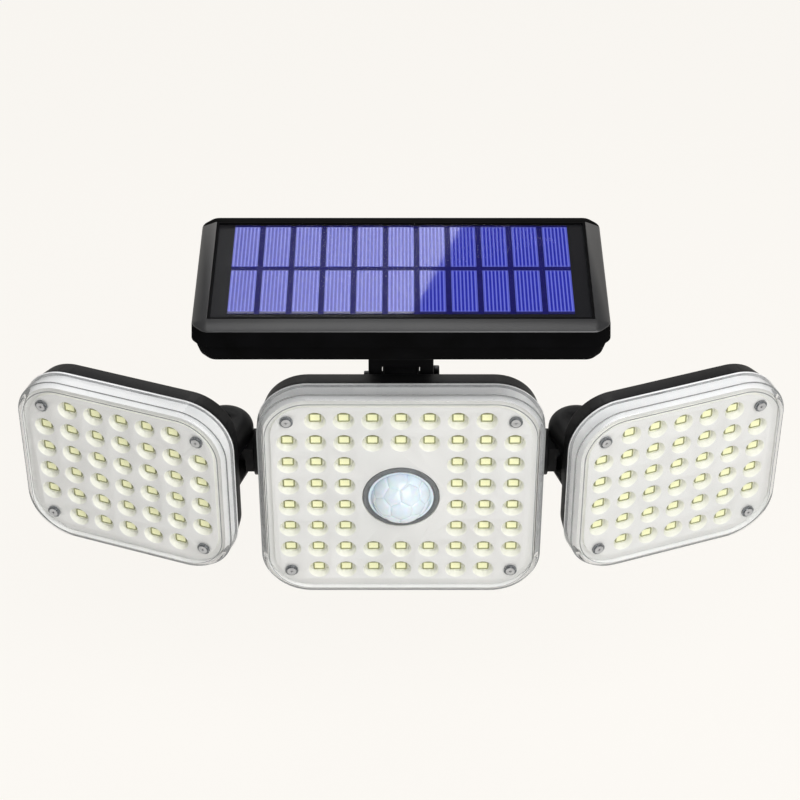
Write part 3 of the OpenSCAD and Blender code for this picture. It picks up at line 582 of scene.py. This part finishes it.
def led_phosphor():
    """Cast silicone with yellow phosphor grains: pale and matt."""
    look = Finish("LED phosphor", Roughness=0.45)
    look.mottle("F8F8BE", settings().colours.phosphor, 0.4 * MM)
    look.grain(0.4 * MM, 0.02 * MM)
    return look


def led_frame():
    """The LED's moulded rim, olive round the pale face."""
    look = Finish("LED rim plastic", Roughness=0.4)
    look.mottle("7A7E4A", "92965C", 0.6 * MM)
    return look


def solder_mask(name, first, second):
    """Screen-printed solder mask: an even gloss with a slight ripple."""
    look = Finish(name, Roughness=0.3)
    look.mottle(first, second, 6 * MM)
    look.grain(6 * MM, 0.02 * MM)
    return look


def grey_silicone():
    """Moulded silicone rubber: a dull grey with a dusty bloom."""
    look = Finish("Grey silicone rubber", Roughness=0.7)
    look.mottle("9A9B9C", "A8A9AA", 3 * MM)
    return look


def black_gap_shade():
    """A deep black strip round the glass, with a fine grain: painted shade of the gap at the
    window's edge.
    """
    look = Finish("Black gap shade strip", Roughness=0.6, Specular_IOR_Level=0.02)
    look.mottle("070708", "0C0C0D", 4 * MM)
    look.grain(2 * MM, 0.03 * MM)
    return look


def plated_steel(name, first, second, roughness):
    """Plated steel: bright metal with cloudy plating and fine turned marks."""
    look = Finish(name, Metallic=1.0)
    look.mottle(first, second, 2.5 * MM)
    look.uneven_gloss(roughness - 0.08, roughness + 0.08, 0.5 * MM)
    return look


def milky_polyethylene():
    """Moulded high-density polyethylene: milky, bluish and waxy."""
    look = Finish("Milky polyethylene", Roughness=0.22, Subsurface_Weight=0.35,
                  Subsurface_Scale=3 * MM, Coat_Weight=0.3, Coat_Roughness=0.08)
    look.mottle("DCE4EE", "E8EEF4", 9 * MM)
    return look


def collar_plastic():
    """Moulded ABS in satin grey, around the sensor's lens."""
    look = Finish("Satin grey ABS", Roughness=0.38)
    look.mottle("55595A", "62666A", 4 * MM)
    look.grain(0.5 * MM, 0.01 * MM)
    return look


def black_nylon():
    """Turned nylon: dull black with a waxy sheen."""
    look = Finish("Black nylon", Roughness=0.5, Specular_IOR_Level=0.3)
    look.mottle("1C1C1D", "242425", 3 * MM)
    return look


def shrink_wrap():
    """PVC heat-shrink sleeve: glossy blue with slight wrinkles."""
    look = Finish("PVC heat-shrink sleeve", Roughness=0.2)
    look.mottle("1F5C9C", "2A6BAE", 8 * MM)
    look.grain(8 * MM, 0.1 * MM)
    return look


def tempered_glass():
    """Thin low-iron glass with an anti-glare coat: nearly unseen, with a weak mirror image."""
    look = Finish("Tempered glass", Roughness=0.02, Specular_IOR_Level=0.15, Alpha=0.05)
    look.mottle("0C0D12", "101118", 60 * MM)
    return look


def silicon_cells():
    """Polycrystalline silicon with printed silver fingers: glossy blue under pale lines."""
    panel = settings().panel
    look = Finish("Silicon cells", Roughness=0.04, Specular_IOR_Level=0.5)
    tree = look.tree
    silicon = look.mottle(settings().colours.cells, "252BAE", 4 * MM, detail=4)
    place_on = add(tree, "SeparateXYZ", links={"Vector": look.spot})
    low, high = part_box("solar_cells")
    half_row, reach = (high.y - low.y) / 4, panel.cell_width / 2
    spacing = panel.cell_width / panel.fingers
    side_fade, bare_end, end_fade = 1.1 * MM, 1.3 * MM, 1.0 * MM
    column = add(tree, "Math", {"operation": "WRAP"},
                 values={1: panel.cell_step / 2, 2: -panel.cell_step / 2},
                 links={0: place_on.outputs["X"]})
    finger = add(tree, "Math", {"operation": "PINGPONG"},
                 values={1: spacing / 2}, links={0: column})
    sideways = add(tree, "Math", {"operation": "ABSOLUTE"}, links={0: column})
    along = add(tree, "Math", {"operation": "SUBTRACT"}, values={1: low.y},
                links={0: place_on.outputs["Y"]})
    end = add(tree, "Math", {"operation": "PINGPONG"}, values={1: half_row}, links={0: along})
    pale = None
    for way, near, far, pale_near, pale_far in (
            (finger, 0.12 * spacing, 0.26 * spacing, 0.85, 0.0),
            (sideways, reach - side_fade, reach, 0.0, 0.55),
            (end, bare_end, bare_end + end_fade, 0.5, 0.0)):
        fade = add(tree, "MapRange", links={"Value": way},
                   values={"From Min": near, "From Max": far,
                           "To Min": pale_near, "To Max": pale_far})
        pale = fade if pale is None else add(
            tree, "Math", {"operation": "MAXIMUM"}, links={0: pale, 1: fade})
    printed = add(tree, "Mix", {"data_type": "RGBA"},
                  values={SECOND: linear("7880EC")}, links={FACTOR: pale, FIRST: silicon})
    bare = add(tree, "Math", {"operation": "LESS_THAN"}, values={1: bare_end}, links={0: end})
    whole = add(tree, "Mix", {"data_type": "RGBA"}, values={SECOND: linear("1F1E62")},
                links={FACTOR: bare, FIRST: printed.outputs[MIXED]})
    look.feed("Base Color", whole.outputs[MIXED])
    return look


def dark_laminate():
    """The dark sheet behind the cells: matt, navy between the cells and black around them."""
    look = Finish("Dark laminate", Roughness=0.08, Specular_IOR_Level=0.03)
    tree = look.tree
    centre, half = measure("solar_cells")
    place_on = add(tree, "SeparateXYZ", links={"Vector": look.spot})
    beyond = []
    for axis, start_at, reach in (("X", centre.x, half.x), ("Y", centre.y, half.y)):
        away = add(tree, "Math", {"operation": "SUBTRACT"},
                   values={1: start_at}, links={0: place_on.outputs[axis]})
        away = add(tree, "Math", {"operation": "ABSOLUTE"}, links={0: away})
        beyond.append(add(tree, "Math", {"operation": "GREATER_THAN"},
                          values={1: reach}, links={0: away}))
    margin = add(tree, "Math", {"operation": "MAXIMUM"}, links={0: beyond[0], 1: beyond[1]})
    mix = add(tree, "Mix", {"data_type": "RGBA"}, values={SECOND: linear("232325")},
              links={FACTOR: margin, FIRST: look.mottle("1C1B5C", "222068", 6 * MM)})
    look.feed("Base Color", mix.outputs[MIXED])
    return look


def paper_floor():
    """Matt studio paper: even and pale to the eye, and it keeps a soft shadow."""
    paper = settings().colours.backdrop
    look = Finish("Studio paper", Base_Color=paper, Roughness=0.9)
    glow = add(look.tree, "Emission", values={"Color": paper, "Strength": 1.0})
    path = add(look.tree, "LightPath")
    share = add(look.tree, "Math", {"operation": "MULTIPLY"}, values={1: 0.9},
                links={0: path.outputs["Is Camera Ray"]})
    look.mix_in(share, glow)
    return look


MAKERS = {
    "black": moulded_black,
    "frame": matt_frame_plastic,
    "bezel": bezel_painted_sheen,
    "clear": clear_polycarbonate,
    "frosted_and_highlight": frosted_polycarbonate_and_highlight,
    "shade_lines": polycarbonate_shade_lines,
    "white": reflector_white,
    "cup": polished_white_painted_light,
    "phosphor": led_phosphor,
    "led_rim": led_frame,
    # LED boards: white solder mask, made lighter and cream-yellow as painted glow of the phosphor
    # in the cups
    "board": lambda: solder_mask("White solder mask, painted glow", "F3F3DE", "F8F8EA"),
    "green": lambda: solder_mask("Green solder mask", "12441F", "185226"),
    "rubber": grey_silicone,
    "gap_shade": black_gap_shade,
    "steel": lambda: plated_steel("Zinc-plated steel", "B4B5B7", "C6C7C9", 0.35),
    "dark_steel": lambda: plated_steel("Black-oxide steel", "2C2C2E", "3A3A3C", 0.4),
    "dome": milky_polyethylene,
    "collar": collar_plastic,
    "nylon": black_nylon,
    "sleeve": shrink_wrap,
    "glass": tempered_glass,
    "cells": silicon_cells,
    "laminate": dark_laminate,
}
MADE = {}


def finish(name):
    """Makes each finish once, when a piece first asks for it."""
    if name not in MADE:
        MADE[name] = MAKERS[name]().material
    return MADE[name]


# ---- pieces ----


class LIGHT_OT_covers(bpy.types.Operator):
    """Models the clear covers of the three heads, with their screw recesses"""

    bl_idname = "security_light.covers"
    bl_label = "Clear Covers"

    def execute(self, context):
        for head in HEADS:
            self.model(head)
        return {"FINISHED"}

    def model(self, head):
        heads = settings().heads
        band_level, step_level = COVER_SEAM + 0.9 * MM, 1.05 * MM
        crest = COVER_FRONT - 0.2 * MM
        wall, step, flat, line = 2.2 * MM, 0.65 * MM, 0.5 * MM, 0.35 * MM
        recess_r, hole_r, dome_hole_r = 2.8 * MM, 1.5 * MM, 14.2 * MM
        beyond, hole_ends = 6 * MM, (2 * MM, 3.5 * MM)
        half_x = HEADS[head]["cols"] * heads.led_pitch + heads.margin_x
        half_y = HEADS[head]["rows"] * heads.led_pitch + heads.margin_y
        obj = rounded_slab(head + "_cover", half_x, half_y, heads.corner, 24, COVER_SEAM,
                           band_level)
        with editing(obj):
            pick_level(obj, "FACE", band_level)
            extrude(step_level - band_level)
            inset(step)
            extrude(crest - step_level)
            round_level(obj, crest, heads.cover_edge - step, 6)
            pick_level(obj, "FACE", crest)
            inset(flat)
            inset(line, COVER_FRONT - crest)
            pick_level(obj, "FACE", COVER_SEAM)
            inset(wall)
            extrude(COVER_INSIDE - COVER_SEAM)
        give(obj, "clear", "frosted_and_highlight", "shade_lines")
        # Frosted white inner walls, and a white band along the seam: painted highlight
        assign(obj, 1, lambda face: spans(face, COVER_SEAM, COVER_INSIDE)
               or spans(face, COVER_SEAM, band_level))
        # Grey lines of painted shade on the step ring and the front ring
        assign(obj, 2, lambda face: spans(face, step_level, step_level)
               or spans(face, crest, COVER_FRONT))
        spots = corner_spots(head)
        tools = [rod("recess", recess_r, SCREW_SEAT, beyond, spot) for spot in spots]
        tools += [rod("hole", hole_r, *hole_ends, spot) for spot in spots]
        if head == "centre":
            tools.append(rod("dome_hole", dome_hole_r, 0, beyond, sides=96))
        cut(obj, *tools)
        smooth(obj)
        place(obj, head_matrix(head))
        dress(obj, HEADS[head]["body"], "clear_cover", head + "_lens")


class LIGHT_OT_leds(bpy.types.Operator):
    """Models one LED package and sets it out on the three heads' grids"""

    bl_idname = "security_light.leds"
    bl_label = "LED Grids"

    def execute(self, context):
        package = self.package()
        for head in HEADS:
            copies = [copy_to(package, (x, y, 0)) for x, y in led_spots(head)]
            obj = join(head + "_led_grid", copies)
            place(obj, head_matrix(head))
            dress(obj, HEADS[head]["body"], "led_yellow", head + "_leds")
        bpy.data.objects.remove(package)
        return {"FINISHED"}

    def package(self):
        """An LED whose pale face lies in a rim, with its top at the origin."""
        width, height, depth = 5 * MM, 4.2 * MM, 0.8 * MM
        corner, rim, slope, dip = 0.7 * MM, 0.5 * MM, 0.1 * MM, 0.1 * MM
        obj = block("led", (width, height, depth))
        with editing(obj):
            pick_all()
            bpy.ops.transform.translate(value=(0, 0, -depth / 2))
            pick(obj, "EDGE", lambda edge: abs(middle(edge).z + depth / 2) < TINY)
            bpy.ops.mesh.bevel(offset=corner, segments=2, affect="EDGES")
            pick_level(obj, "FACE", 0)
            inset(rim)
            inset(slope, -dip)
        give(obj, "led_rim", "phosphor")
        assign(obj, 1, lambda face: spans(face, -dip, -dip))
        smooth(obj)
        return obj


class LIGHT_OT_screws(bpy.types.Operator):
    """Models the heads of cross-head screws and puts them in the covers, bracket and panel"""

    bl_idname = "security_light.screws"
    bl_label = "Screws"

    def execute(self, context):
        screw = self.screw_head(1.9 * MM, 1.2 * MM, 1.6 * MM)
        # A grey washer under each cover screw: its dark ring round the head is painted shade of the
        # screw's recess
        shade_washer_r, shade_washer_ends = 2.75 * MM, (-0.58 * MM, -0.1 * MM)
        shade_washer = rod("shade_washer", shade_washer_r, *shade_washer_ends)
        smooth(shade_washer)
        give(screw, "steel")
        give(shade_washer, "collar")
        screw = join("screw", [screw, shade_washer])
        for head in HEADS:
            copies = [copy_to(screw, (x, y, SCREW_SEAT)) for x, y in corner_spots(head)]
            obj = join(head + "_cover_screws", copies)
            place(obj, head_matrix(head))
            dress(obj, HEADS[head]["body"], "steel", head + "_screws")
        bpy.data.objects.remove(screw)
        self.fasten("housing_screws", "base", [(0, 1, 0)])
        self.fasten("bracket_screws", "base", [(1, 0, 0), (-1, 0, 0)])
        self.fasten("panel_screws", "panel", [(0, 0, -1)])
        self.fasten("neck_screws", "panel", [(0, 0, -1)])
        return {"FINISHED"}

    @staticmethod
    def screw_head(radius, height, cross):
        """A disc around the origin with a tapering cross slot in its upper half."""
        obj = rod("screw", radius, -height / 2, height / 2)
        slot_w, taper = 0.22 * cross, 0.6
        slots = []
        for size in ((cross, slot_w, height), (slot_w, cross, height)):
            slot = block("slot", size, (0, 0, height / 2))
            with editing(slot):
                pick(slot, "FACE", lambda face: middle(face).z < -0.4 * height)
                bpy.ops.transform.resize(value=(taper, taper, 1))
            slots.append(slot)
        cut(obj, *slots)
        smooth(obj)
        return obj

    def fasten(self, node, body, directions):
        """Puts screws where a node of the frame has them, their heads towards a direction."""
        head_r, head_h, cross = 2.8 * MM, 1.8 * MM, 2.8 * MM
        centre, half = measure(node)
        copies = []
        for direction in directions:
            outwards = Vector(direction)
            depth = abs(half.dot(outwards)) - head_h
            screw = self.screw_head(head_r, head_h, cross)
            turn = Vector((0, 0, 1)).rotation_difference(outwards).to_matrix().to_4x4()
            spots = set()
            for signs in itertools.product((1, -1), repeat=3):
                out = [sign * (edge - head_r) for sign, edge in zip(signs, half)]
                seat = [centre[i] + (direction[i] * depth if direction[i] else out[i])
                        for i in range(3)]
                spots.add(tuple(round(value, 6) for value in seat))
            for spot in sorted(spots):
                twin = copy_to(screw, (0, 0, 0))
                place(twin, Matrix.Translation(spot) @ turn)
                copies.append(twin)
            bpy.data.objects.remove(screw)
        obj = join(node + "_cross", copies)
        give(obj, "steel")
        dress(obj, body, "steel", node)


class LIGHT_OT_dome(bpy.types.Operator):
    """Models the sensor's dome with its moulded lens facets"""

    bl_idname = "security_light.dome"
    bl_label = "Sensor Dome"

    def execute(self, context):
        foot_r, height, wall = 12.2 * MM, 10.6 * MM, 0.8 * MM
        ball = (foot_r ** 2 + height ** 2) / (2 * height)
        obj = start("sensor_dome", bpy.ops.mesh.primitive_ico_sphere_add,
                    subdivisions=1, radius=ball)
        with editing(obj):
            pick_all()
            bpy.ops.mesh.bevel(offset_type="PERCENT", offset_pct=100 / 3, segments=1,
                               affect="VERTICES")
        self.turn_six_sided_up(obj)
        self.dent_seams(obj, ball)
        with editing(obj):
            pick_all()
            bpy.ops.transform.translate(value=(0, 0, height - ball))
            pick_all()
            bpy.ops.mesh.bisect(plane_co=(0, 0, 0), plane_no=(0, 0, 1), clear_inner=True)
            pick(obj, "EDGE", lambda edge: edge.is_boundary)
            extrude(BOARD_FRONT - DOME_FOOT)
        place(obj, Matrix.Translation((0, 0, DOME_FOOT)))
        finish_modifier(obj, "SOLIDIFY", thickness=wall, offset=-1)
        smooth(obj, 50)
        obj = join("sensor_dome", [obj, self.flange(foot_r, wall)])
        place(obj, head_matrix("centre"))
        give(obj, "dome")
        dress(obj, "base", "dome", "pir_dome")
        return {"FINISHED"}

    @staticmethod
    def turn_six_sided_up(obj):
        """Turns a six-sided facet forwards, with one of its corners to the head's top."""
        side = [facet for facet in obj.data.polygons if len(facet.vertices) == 6][0]
        lean = Vector(side.normal).rotation_difference(Vector((0, 0, 1))).to_matrix().to_4x4()
        place(obj, lean)
        top = max(obj.data.polygons, key=lambda facet: facet.center.z)
        first = obj.data.vertices[top.vertices[0]].co
        spin = math.radians(90) - math.atan2(first.y, first.x)
        place(obj, Matrix.Rotation(spin, 4, "Z"))

    def dent_seams(self, obj, ball):
        """Rounds the facets into a ball with a shallow dent along each seam."""
        seam_w, seam_depth, crown_w, crown_height = 0.35 * MM, 0.3 * MM, 2.5 * MM, 0.25 * MM
        seams = [tuple(obj.data.vertices[i].co.normalized() for i in edge.vertices)
                 for edge in obj.data.edges]
        with editing(obj):
            pick_all()
            bpy.ops.mesh.poke()
            pick_all()
            bpy.ops.mesh.subdivide(number_cuts=9)
        for vert in obj.data.vertices:
            ray = vert.co.normalized()
            gap = min(self.seam_gap(ray, seam) for seam in seams) * ball
            dent = seam_depth * math.exp(-(gap / seam_w) ** 2)
            crown = crown_height * min(1, gap / crown_w)
            vert.co = ray * (ball - crown_height - dent + crown)

    @staticmethod
    def flange(foot_r, wall):
        """The dome's foot, with a fine slit around the lens."""
        radius, top, slit = 13.4 * MM, DOME_FOOT + 0.7 * MM, 0.35 * MM
        obj = rod("flange", radius, BOARD_FRONT, top, sides=96)
        cut(obj, rod("bore", foot_r - wall / 2, BOARD_FRONT - wall, DOME_FOOT, sides=96),
            rod("slit", foot_r + slit, DOME_FOOT - TINY, DOME_FOOT + wall, sides=96))
        smooth(obj, 50)
        return obj

    @staticmethod
    def seam_gap(ray, seam):
        """Angle between a direction and the arc between two others."""
        first, second = seam
        normal = first.cross(second).normalized()
        centre = (first + second).normalized()
        reach = centre.angle(first)
        along = ray - normal * ray.dot(normal)
        if along.length > 1e-6 and along.normalized().angle(centre) <= reach:
            return abs(math.asin(max(-1, min(1, ray.dot(normal)))))
        return min(ray.angle(first), ray.angle(second))


class LIGHT_OT_panel(bpy.types.Operator):
    """Models the solar panel's bevelled frame and lower shell"""

    bl_idname = "security_light.panel"
    bl_label = "Solar Panel"

    def execute(self, context):
        self.bezel()
        self.shell()
        self.pane()
        return {"FINISHED"}

    def bezel(self):
        panel = settings().panel
        centre, half = measure("panel_frame")
        slope, ledge, ledge_drop = 0.4 * MM, 3.2 * MM, 2.5 * MM
        rim_round, window_round = 0.6 * MM, 0.25 * MM
        top = panel.rim_height + panel.bevel_drop
        obj = plate("panel_bezel", half.x, half.y, (panel.corner, 1), (panel.corner_round, 4))
        with editing(obj):
            pick_all()
            inset(slope, panel.rim_height)
            inset(panel.bevel - slope, panel.bevel_drop)
            for x, y in corners(half.x - panel.bevel, half.y - panel.bevel):
                self.square_off(obj, x, y, top)
            pick_level(obj, "FACE", top)
            extrude(-ledge_drop)
            inset(ledge)
            extrude(ledge_drop - top)
            bpy.ops.mesh.delete(type="FACE")
            pick(obj, "EDGE", lambda edge: edge.is_boundary)
            bpy.ops.mesh.bridge_edge_loops()
            face_outwards()
            round_level(obj, panel.rim_height, rim_round, 3)
            round_level(obj, top, window_round)
        give(obj, "frame", "bezel")
        # The front and side bevels get the lighter grey of painted sheen; the rear bevel keeps the
        # frame's black
        assign(obj, 1, lambda face: self.painted_sheen_faces(face, half.y, panel))
        smooth(obj)
        place(obj, Matrix.Translation((centre.x, centre.y, centre.z - half.z)))
        dress(obj, "panel", "grey_plastic", "panel_frame")

    @staticmethod
    def square_off(obj, x, y, level):
        """Merges the vertices at one corner of the window and moves them to its sharp corner."""
        def at_corner(vert):
            return abs(vert.co.z - level) < TINY and vert.co.x * x > 0 and vert.co.y * y > 0
        pick(obj, "VERT", at_corner)
        bpy.ops.mesh.merge(type="CENTER")
        pick(obj, "VERT", at_corner)
        mesh = bmesh.from_edit_mesh(obj.data)
        corner = [vert for vert in mesh.verts if vert.select][0].co.copy()
        bpy.ops.transform.translate(value=(x - corner.x, y - corner.y, 0))

    @staticmethod
    def painted_sheen_faces(face, half_y, panel):
        """Tells the front and side bevels, whose grey is painted sheen, from the rest, the rear
        bevel among it.
        """
        rear_edge = half_y - panel.bevel - 0.5 * MM
        foot, slope = panel.rim_height - 0.7 * MM, 0.3
        spot = middle(face)
        return face.normal.z > slope and spot.z > foot and spot.y <= rear_edge

    def shell(self):
        """The lower half of the panel's case, hollow, with its screw recesses."""
        centre, half = measure("panel_back")
        floor = centre.z - half.z
        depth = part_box("panel_frame")[0].z - floor
        slope, wall, corner = 2.2 * MM, 2.4 * MM, 4.5 * MM
        floor_round, rim_round = 2.0 * MM, 0.4 * MM
        screw_r, recess_r, recess_ends = 2.8 * MM, 2.9 * MM, (-1 * MM, 1.8 * MM)
        obj = plate("panel_shell", half.x - slope, half.y - slope, (corner, 1),
                    (settings().panel.corner_round, 4))
        with editing(obj):
            pick_all()
            extrude(depth)
            bpy.ops.transform.resize(
                value=(half.x / (half.x - slope), half.y / (half.y - slope), 1))
            face_outwards()
            round_level(obj, 0, floor_round, 5)
            round_level(obj, depth, rim_round)
            pick_level(obj, "FACE", depth)
            bpy.ops.mesh.delete(type="FACE")
        finish_modifier(obj, "SOLIDIFY", thickness=wall, offset=-1)
        reach = measure("panel_screws")[1]
        cut(obj, *[rod("recess", recess_r, *recess_ends, spot)
                   for spot in corners(reach.x - screw_r, reach.y - screw_r)])
        smooth(obj)
        place(obj, Matrix.Translation((centre.x, centre.y, floor)))
        give(obj, "frame")
        dress(obj, "panel", "black_plastic", "panel_back")

    def pane(self):
        """The glass, with its ground edges, and a black strip round it: painted shade of the gap at
        the window's edge.
        """
        centre, half = measure("panel_glass")
        bottom, top = (corner.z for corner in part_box("panel_glass"))
        lift, corner, edge = 0.03 * MM, 0.6 * MM, 0.15 * MM
        shade_strip_w, shade_strip_h, shade_strip_round = 0.85 * MM, 0.18 * MM, 0.08 * MM
        glass = rounded_slab("panel_pane", half.x, half.y, corner, 3, bottom + lift, top)
        with editing(glass):
            round_level(glass, top, edge)
        smooth(glass)
        place(glass, Matrix.Translation((centre.x, centre.y, 0)))
        give(glass, "glass")
        dress(glass, "panel", "panel_glass", "panel_glass")
        # A black strip round the glass: painted shade of the gap at the window's edge
        shade_strip = plate("glass_shade_strip", half.x, half.y)
        with editing(shade_strip):
            pick_all()
            inset(shade_strip_w)
            bpy.ops.mesh.delete(type="FACE")
            pick_all()
            extrude(shade_strip_h)
            face_outwards()
            round_level(shade_strip, shade_strip_h, shade_strip_round)
        smooth(shade_strip)
        place(shade_strip, Matrix.Translation((centre.x, centre.y, top)))
        give(shade_strip, "gap_shade")
        dress(shade_strip, "panel", "rubber")


class LIGHT_OT_mouldings(bpy.types.Operator):
    """Rounds the edges of the housings, arms, bracket, neck and other solid parts"""

    bl_idname = "security_light.mouldings"
    bl_label = "Moulded Parts"

    def execute(self, context):
        for node, (body, slot, look, width) in self.parts().items():
            obj = soften(node, width)
            give(obj, look)
            dress(obj, body, slot, node)
            if look == "white":
                self.polish_cups(obj, node.removesuffix("_reflector"))
        return {"FINISHED"}

    @staticmethod
    def polish_cups(obj, head):
        """Gives the sloping walls of a reflector's cups their polished finish, with the lighter
        white of painted light.
        """
        forwards, front_share = head_matrix(head).col[2].to_3d(), 0.9
        give(obj, "white", "cup")
        # Cup walls: a lighter white, painted light
        assign(obj, 1, lambda face: face.normal.dot(forwards) < front_share)

    @staticmethod
    def parts():
        """Each node with its body, slot, finish and edge rounding."""
        parts = {
            "wall_plate": ("base", "black_plastic", "black", 0.5 * MM),
            "mount_bracket": ("base", "black_plastic", "black", 0.6 * MM),
            "centre_housing": ("base", "black_plastic", "black", 0.3 * MM),
            "pir_collar": ("base", "grey_plastic", "collar", 0.2 * MM),
            "panel_neck": ("panel", "black_plastic", "black", 0.5 * MM),
            "hinge_bolt": ("panel", "black_steel", "dark_steel", 0.4 * MM),
            "hinge_nut": ("panel", "black_steel", "dark_steel", 0.2 * MM),
            "mode_button": ("button", "rubber", "nylon", 0.3 * MM),
        }
        for head in HEADS:
            parts[head + "_reflector"] = (HEADS[head]["body"], "white_plastic", "white", 0.25 * MM)
        for side in ("left", "right"):
            parts[side + "_housing"] = (side + "_head", "black_plastic", "black", 0.3 * MM)
            parts[side + "_arm"] = (side + "_arm_link", "black_plastic", "black", 0.4 * MM)
        return parts


class LIGHT_OT_finishes(bpy.types.Operator):
    """Gives the solids that are shown as they are their finishes"""

    bl_idname = "security_light.finishes"
    bl_label = "Finishes of the Solids"

    def execute(self, context):
        looks = {"battery_holder": "black", "pir_sensor": "steel", "solar_cells": "cells",
                 "cell_backing": "laminate", "panel_seal": "rubber", "mode_switch": "collar",
                 "control_board": "green", "battery": "sleeve", "hinge_washers": "nylon"}
        for side in ("left", "right"):
            looks.update({side + "_arm_seal": "nylon", side + "_arm_clip": "steel",
                          side + "_yaw_pin": "steel"})
        for head in HEADS:
            looks.update({head + "_led_board": "board", head + "_gasket": "rubber"})
        for node, look in looks.items():
            give(frame["nodes"][node], look)
        return {"FINISHED"}


class LIGHT_OT_stage(bpy.types.Operator):
    """Sets up the floor, the lamps and the camera"""

    bl_idname = "security_light.stage"
    bl_label = "Stage"

    def execute(self, context):
        self.camera()
        self.floor()
        self.world()
        self.lamp("key", (0.3, -0.8, 0.86), (0.9, 0.9), 11.2)
        self.lamp("top", (0.0, 0.17, 1.0), (0.6, 0.4), 1.6)
        rear = self.lamp("rear", (-0.1135, 0.5, 0.464), (0.3, 0.5), 1.65,
                         turn=(math.radians(90), math.radians(24.0), math.radians(180)))
        self.fade(rear)
        context.scene.view_settings.view_transform = "Standard"
        return {"FINISHED"}

    def camera(self):
        data = bpy.data.cameras.new("camera")
        data.lens = 105.0
        data.sensor_width = 36.0
        camera = put("camera", data)
        camera.location = (-0.0004, -0.7926, 0.6563)
        camera.rotation_euler = (math.radians(51.23), 0, 0)
        bpy.context.scene.camera = camera

    def floor(self):
        size, drop = 8.0, 0.12
        obj = start("floor", bpy.ops.mesh.primitive_plane_add, size=size,
                    location=(0, 0, CAD_BOX[0][2] - drop))
        obj.data.materials.append(paper_floor().material)

    def world(self):
        """The backdrop's colour where it is seen, and a weaker white light for the rest."""
        world = bpy.data.worlds.new("studio")
        bpy.context.scene.world = world
        world.use_nodes = True
        tree = world.node_tree
        tree.nodes.clear()
        path = add(tree, "LightPath")
        seen = path.outputs["Is Camera Ray"]
        for ray in ("Is Glossy Ray", "Is Transmission Ray"):
            seen = add(tree, "Math", {"operation": "MAXIMUM"},
                       links={0: seen, 1: path.outputs[ray]})
        direction = add(tree, "TexCoord").outputs["Generated"]
        height = add(tree, "SeparateXYZ", links={"Vector": direction}).outputs["Z"]
        above = add(tree, "MapRange", links={"Value": height},
                    values={"From Min": 0.3, "From Max": 0.55, "To Min": 0.0, "To Max": 1.0})
        mirrored = add(tree, "Math", {"operation": "MULTIPLY"},
                       links={0: above, 1: path.outputs["Is Glossy Ray"]})
        paper, white = settings().colours.backdrop, linear("FFFFFF")
        soft, plain, ceiling = [
            add(tree, "Background", values={"Color": colour, "Strength": strength})
            for colour, strength in ((white, 0.34), (paper, 1.0), (white, 0.2))]
        mix = add(tree, "MixShader", links={0: seen, 1: soft, 2: plain})
        mix = add(tree, "MixShader", links={0: mirrored, 1: mix, 2: ceiling})
        add(tree, "OutputWorld", links={"Surface": mix})

    def lamp(self, name, spot, size, power, turn=None):
        """A soft box that faces the light, or that is turned by three angles."""
        data = bpy.data.lights.new(name, "AREA")
        data.shape = "RECTANGLE"
        data.size, data.size_y = size
        data.energy = power
        lamp = put(name, data)
        lamp.location = spot
        lamp.visible_camera = False
        target = Vector((0, -0.06, 0.05))
        facing = (target - Vector(spot)).to_track_quat("-Z", "Y").to_euler()
        lamp.rotation_euler = turn or facing
        return lamp

    def fade(self, lamp):
        """Lets a soft box fall off from one side to the other."""
        lamp.data.use_nodes = True
        tree = lamp.data.node_tree
        tree.nodes.clear()
        spot = add(tree, "NewGeometry").outputs["Parametric"]
        across = add(tree, "SeparateXYZ", links={"Vector": spot}).outputs["X"]
        strength = add(tree, "MapRange", values={"To Min": 1.1, "To Max": 0.0},
                       links={"Value": across})
        glow = add(tree, "Emission", links={"Strength": strength})
        add(tree, "OutputLight", links={"Surface": glow})


class LIGHT_PT_panel(bpy.types.Panel):
    """Lists the operators in the sidebar"""

    bl_label = "Security Light"
    bl_space_type = "VIEW_3D"
    bl_region_type = "UI"
    bl_category = "Security Light"

    def draw(self, context):
        for operator in OPERATORS:
            self.layout.operator(operator.bl_idname)


OPERATORS = (LIGHT_OT_covers, LIGHT_OT_leds, LIGHT_OT_screws, LIGHT_OT_dome, LIGHT_OT_panel,
             LIGHT_OT_mouldings, LIGHT_OT_finishes, LIGHT_OT_stage)
CLASSES = (HeadSettings, PanelSettings, ColourSettings, LightSettings) + OPERATORS + (
    LIGHT_PT_panel,)


def register():
    for cls in CLASSES:
        bpy.utils.register_class(cls)
    bpy.types.Scene.security_light = bpy.props.PointerProperty(type=LightSettings)


def unregister():
    del bpy.types.Scene.security_light
    for cls in reversed(CLASSES):
        bpy.utils.unregister_class(cls)


def main():
    register()
    for operator in OPERATORS:
        group, name = operator.bl_idname.split(".")
        if getattr(getattr(bpy.ops, group), name)() != {"FINISHED"}:
            raise RuntimeError(operator.bl_label + " did not finish")


if __name__ == "__main__":
    main()
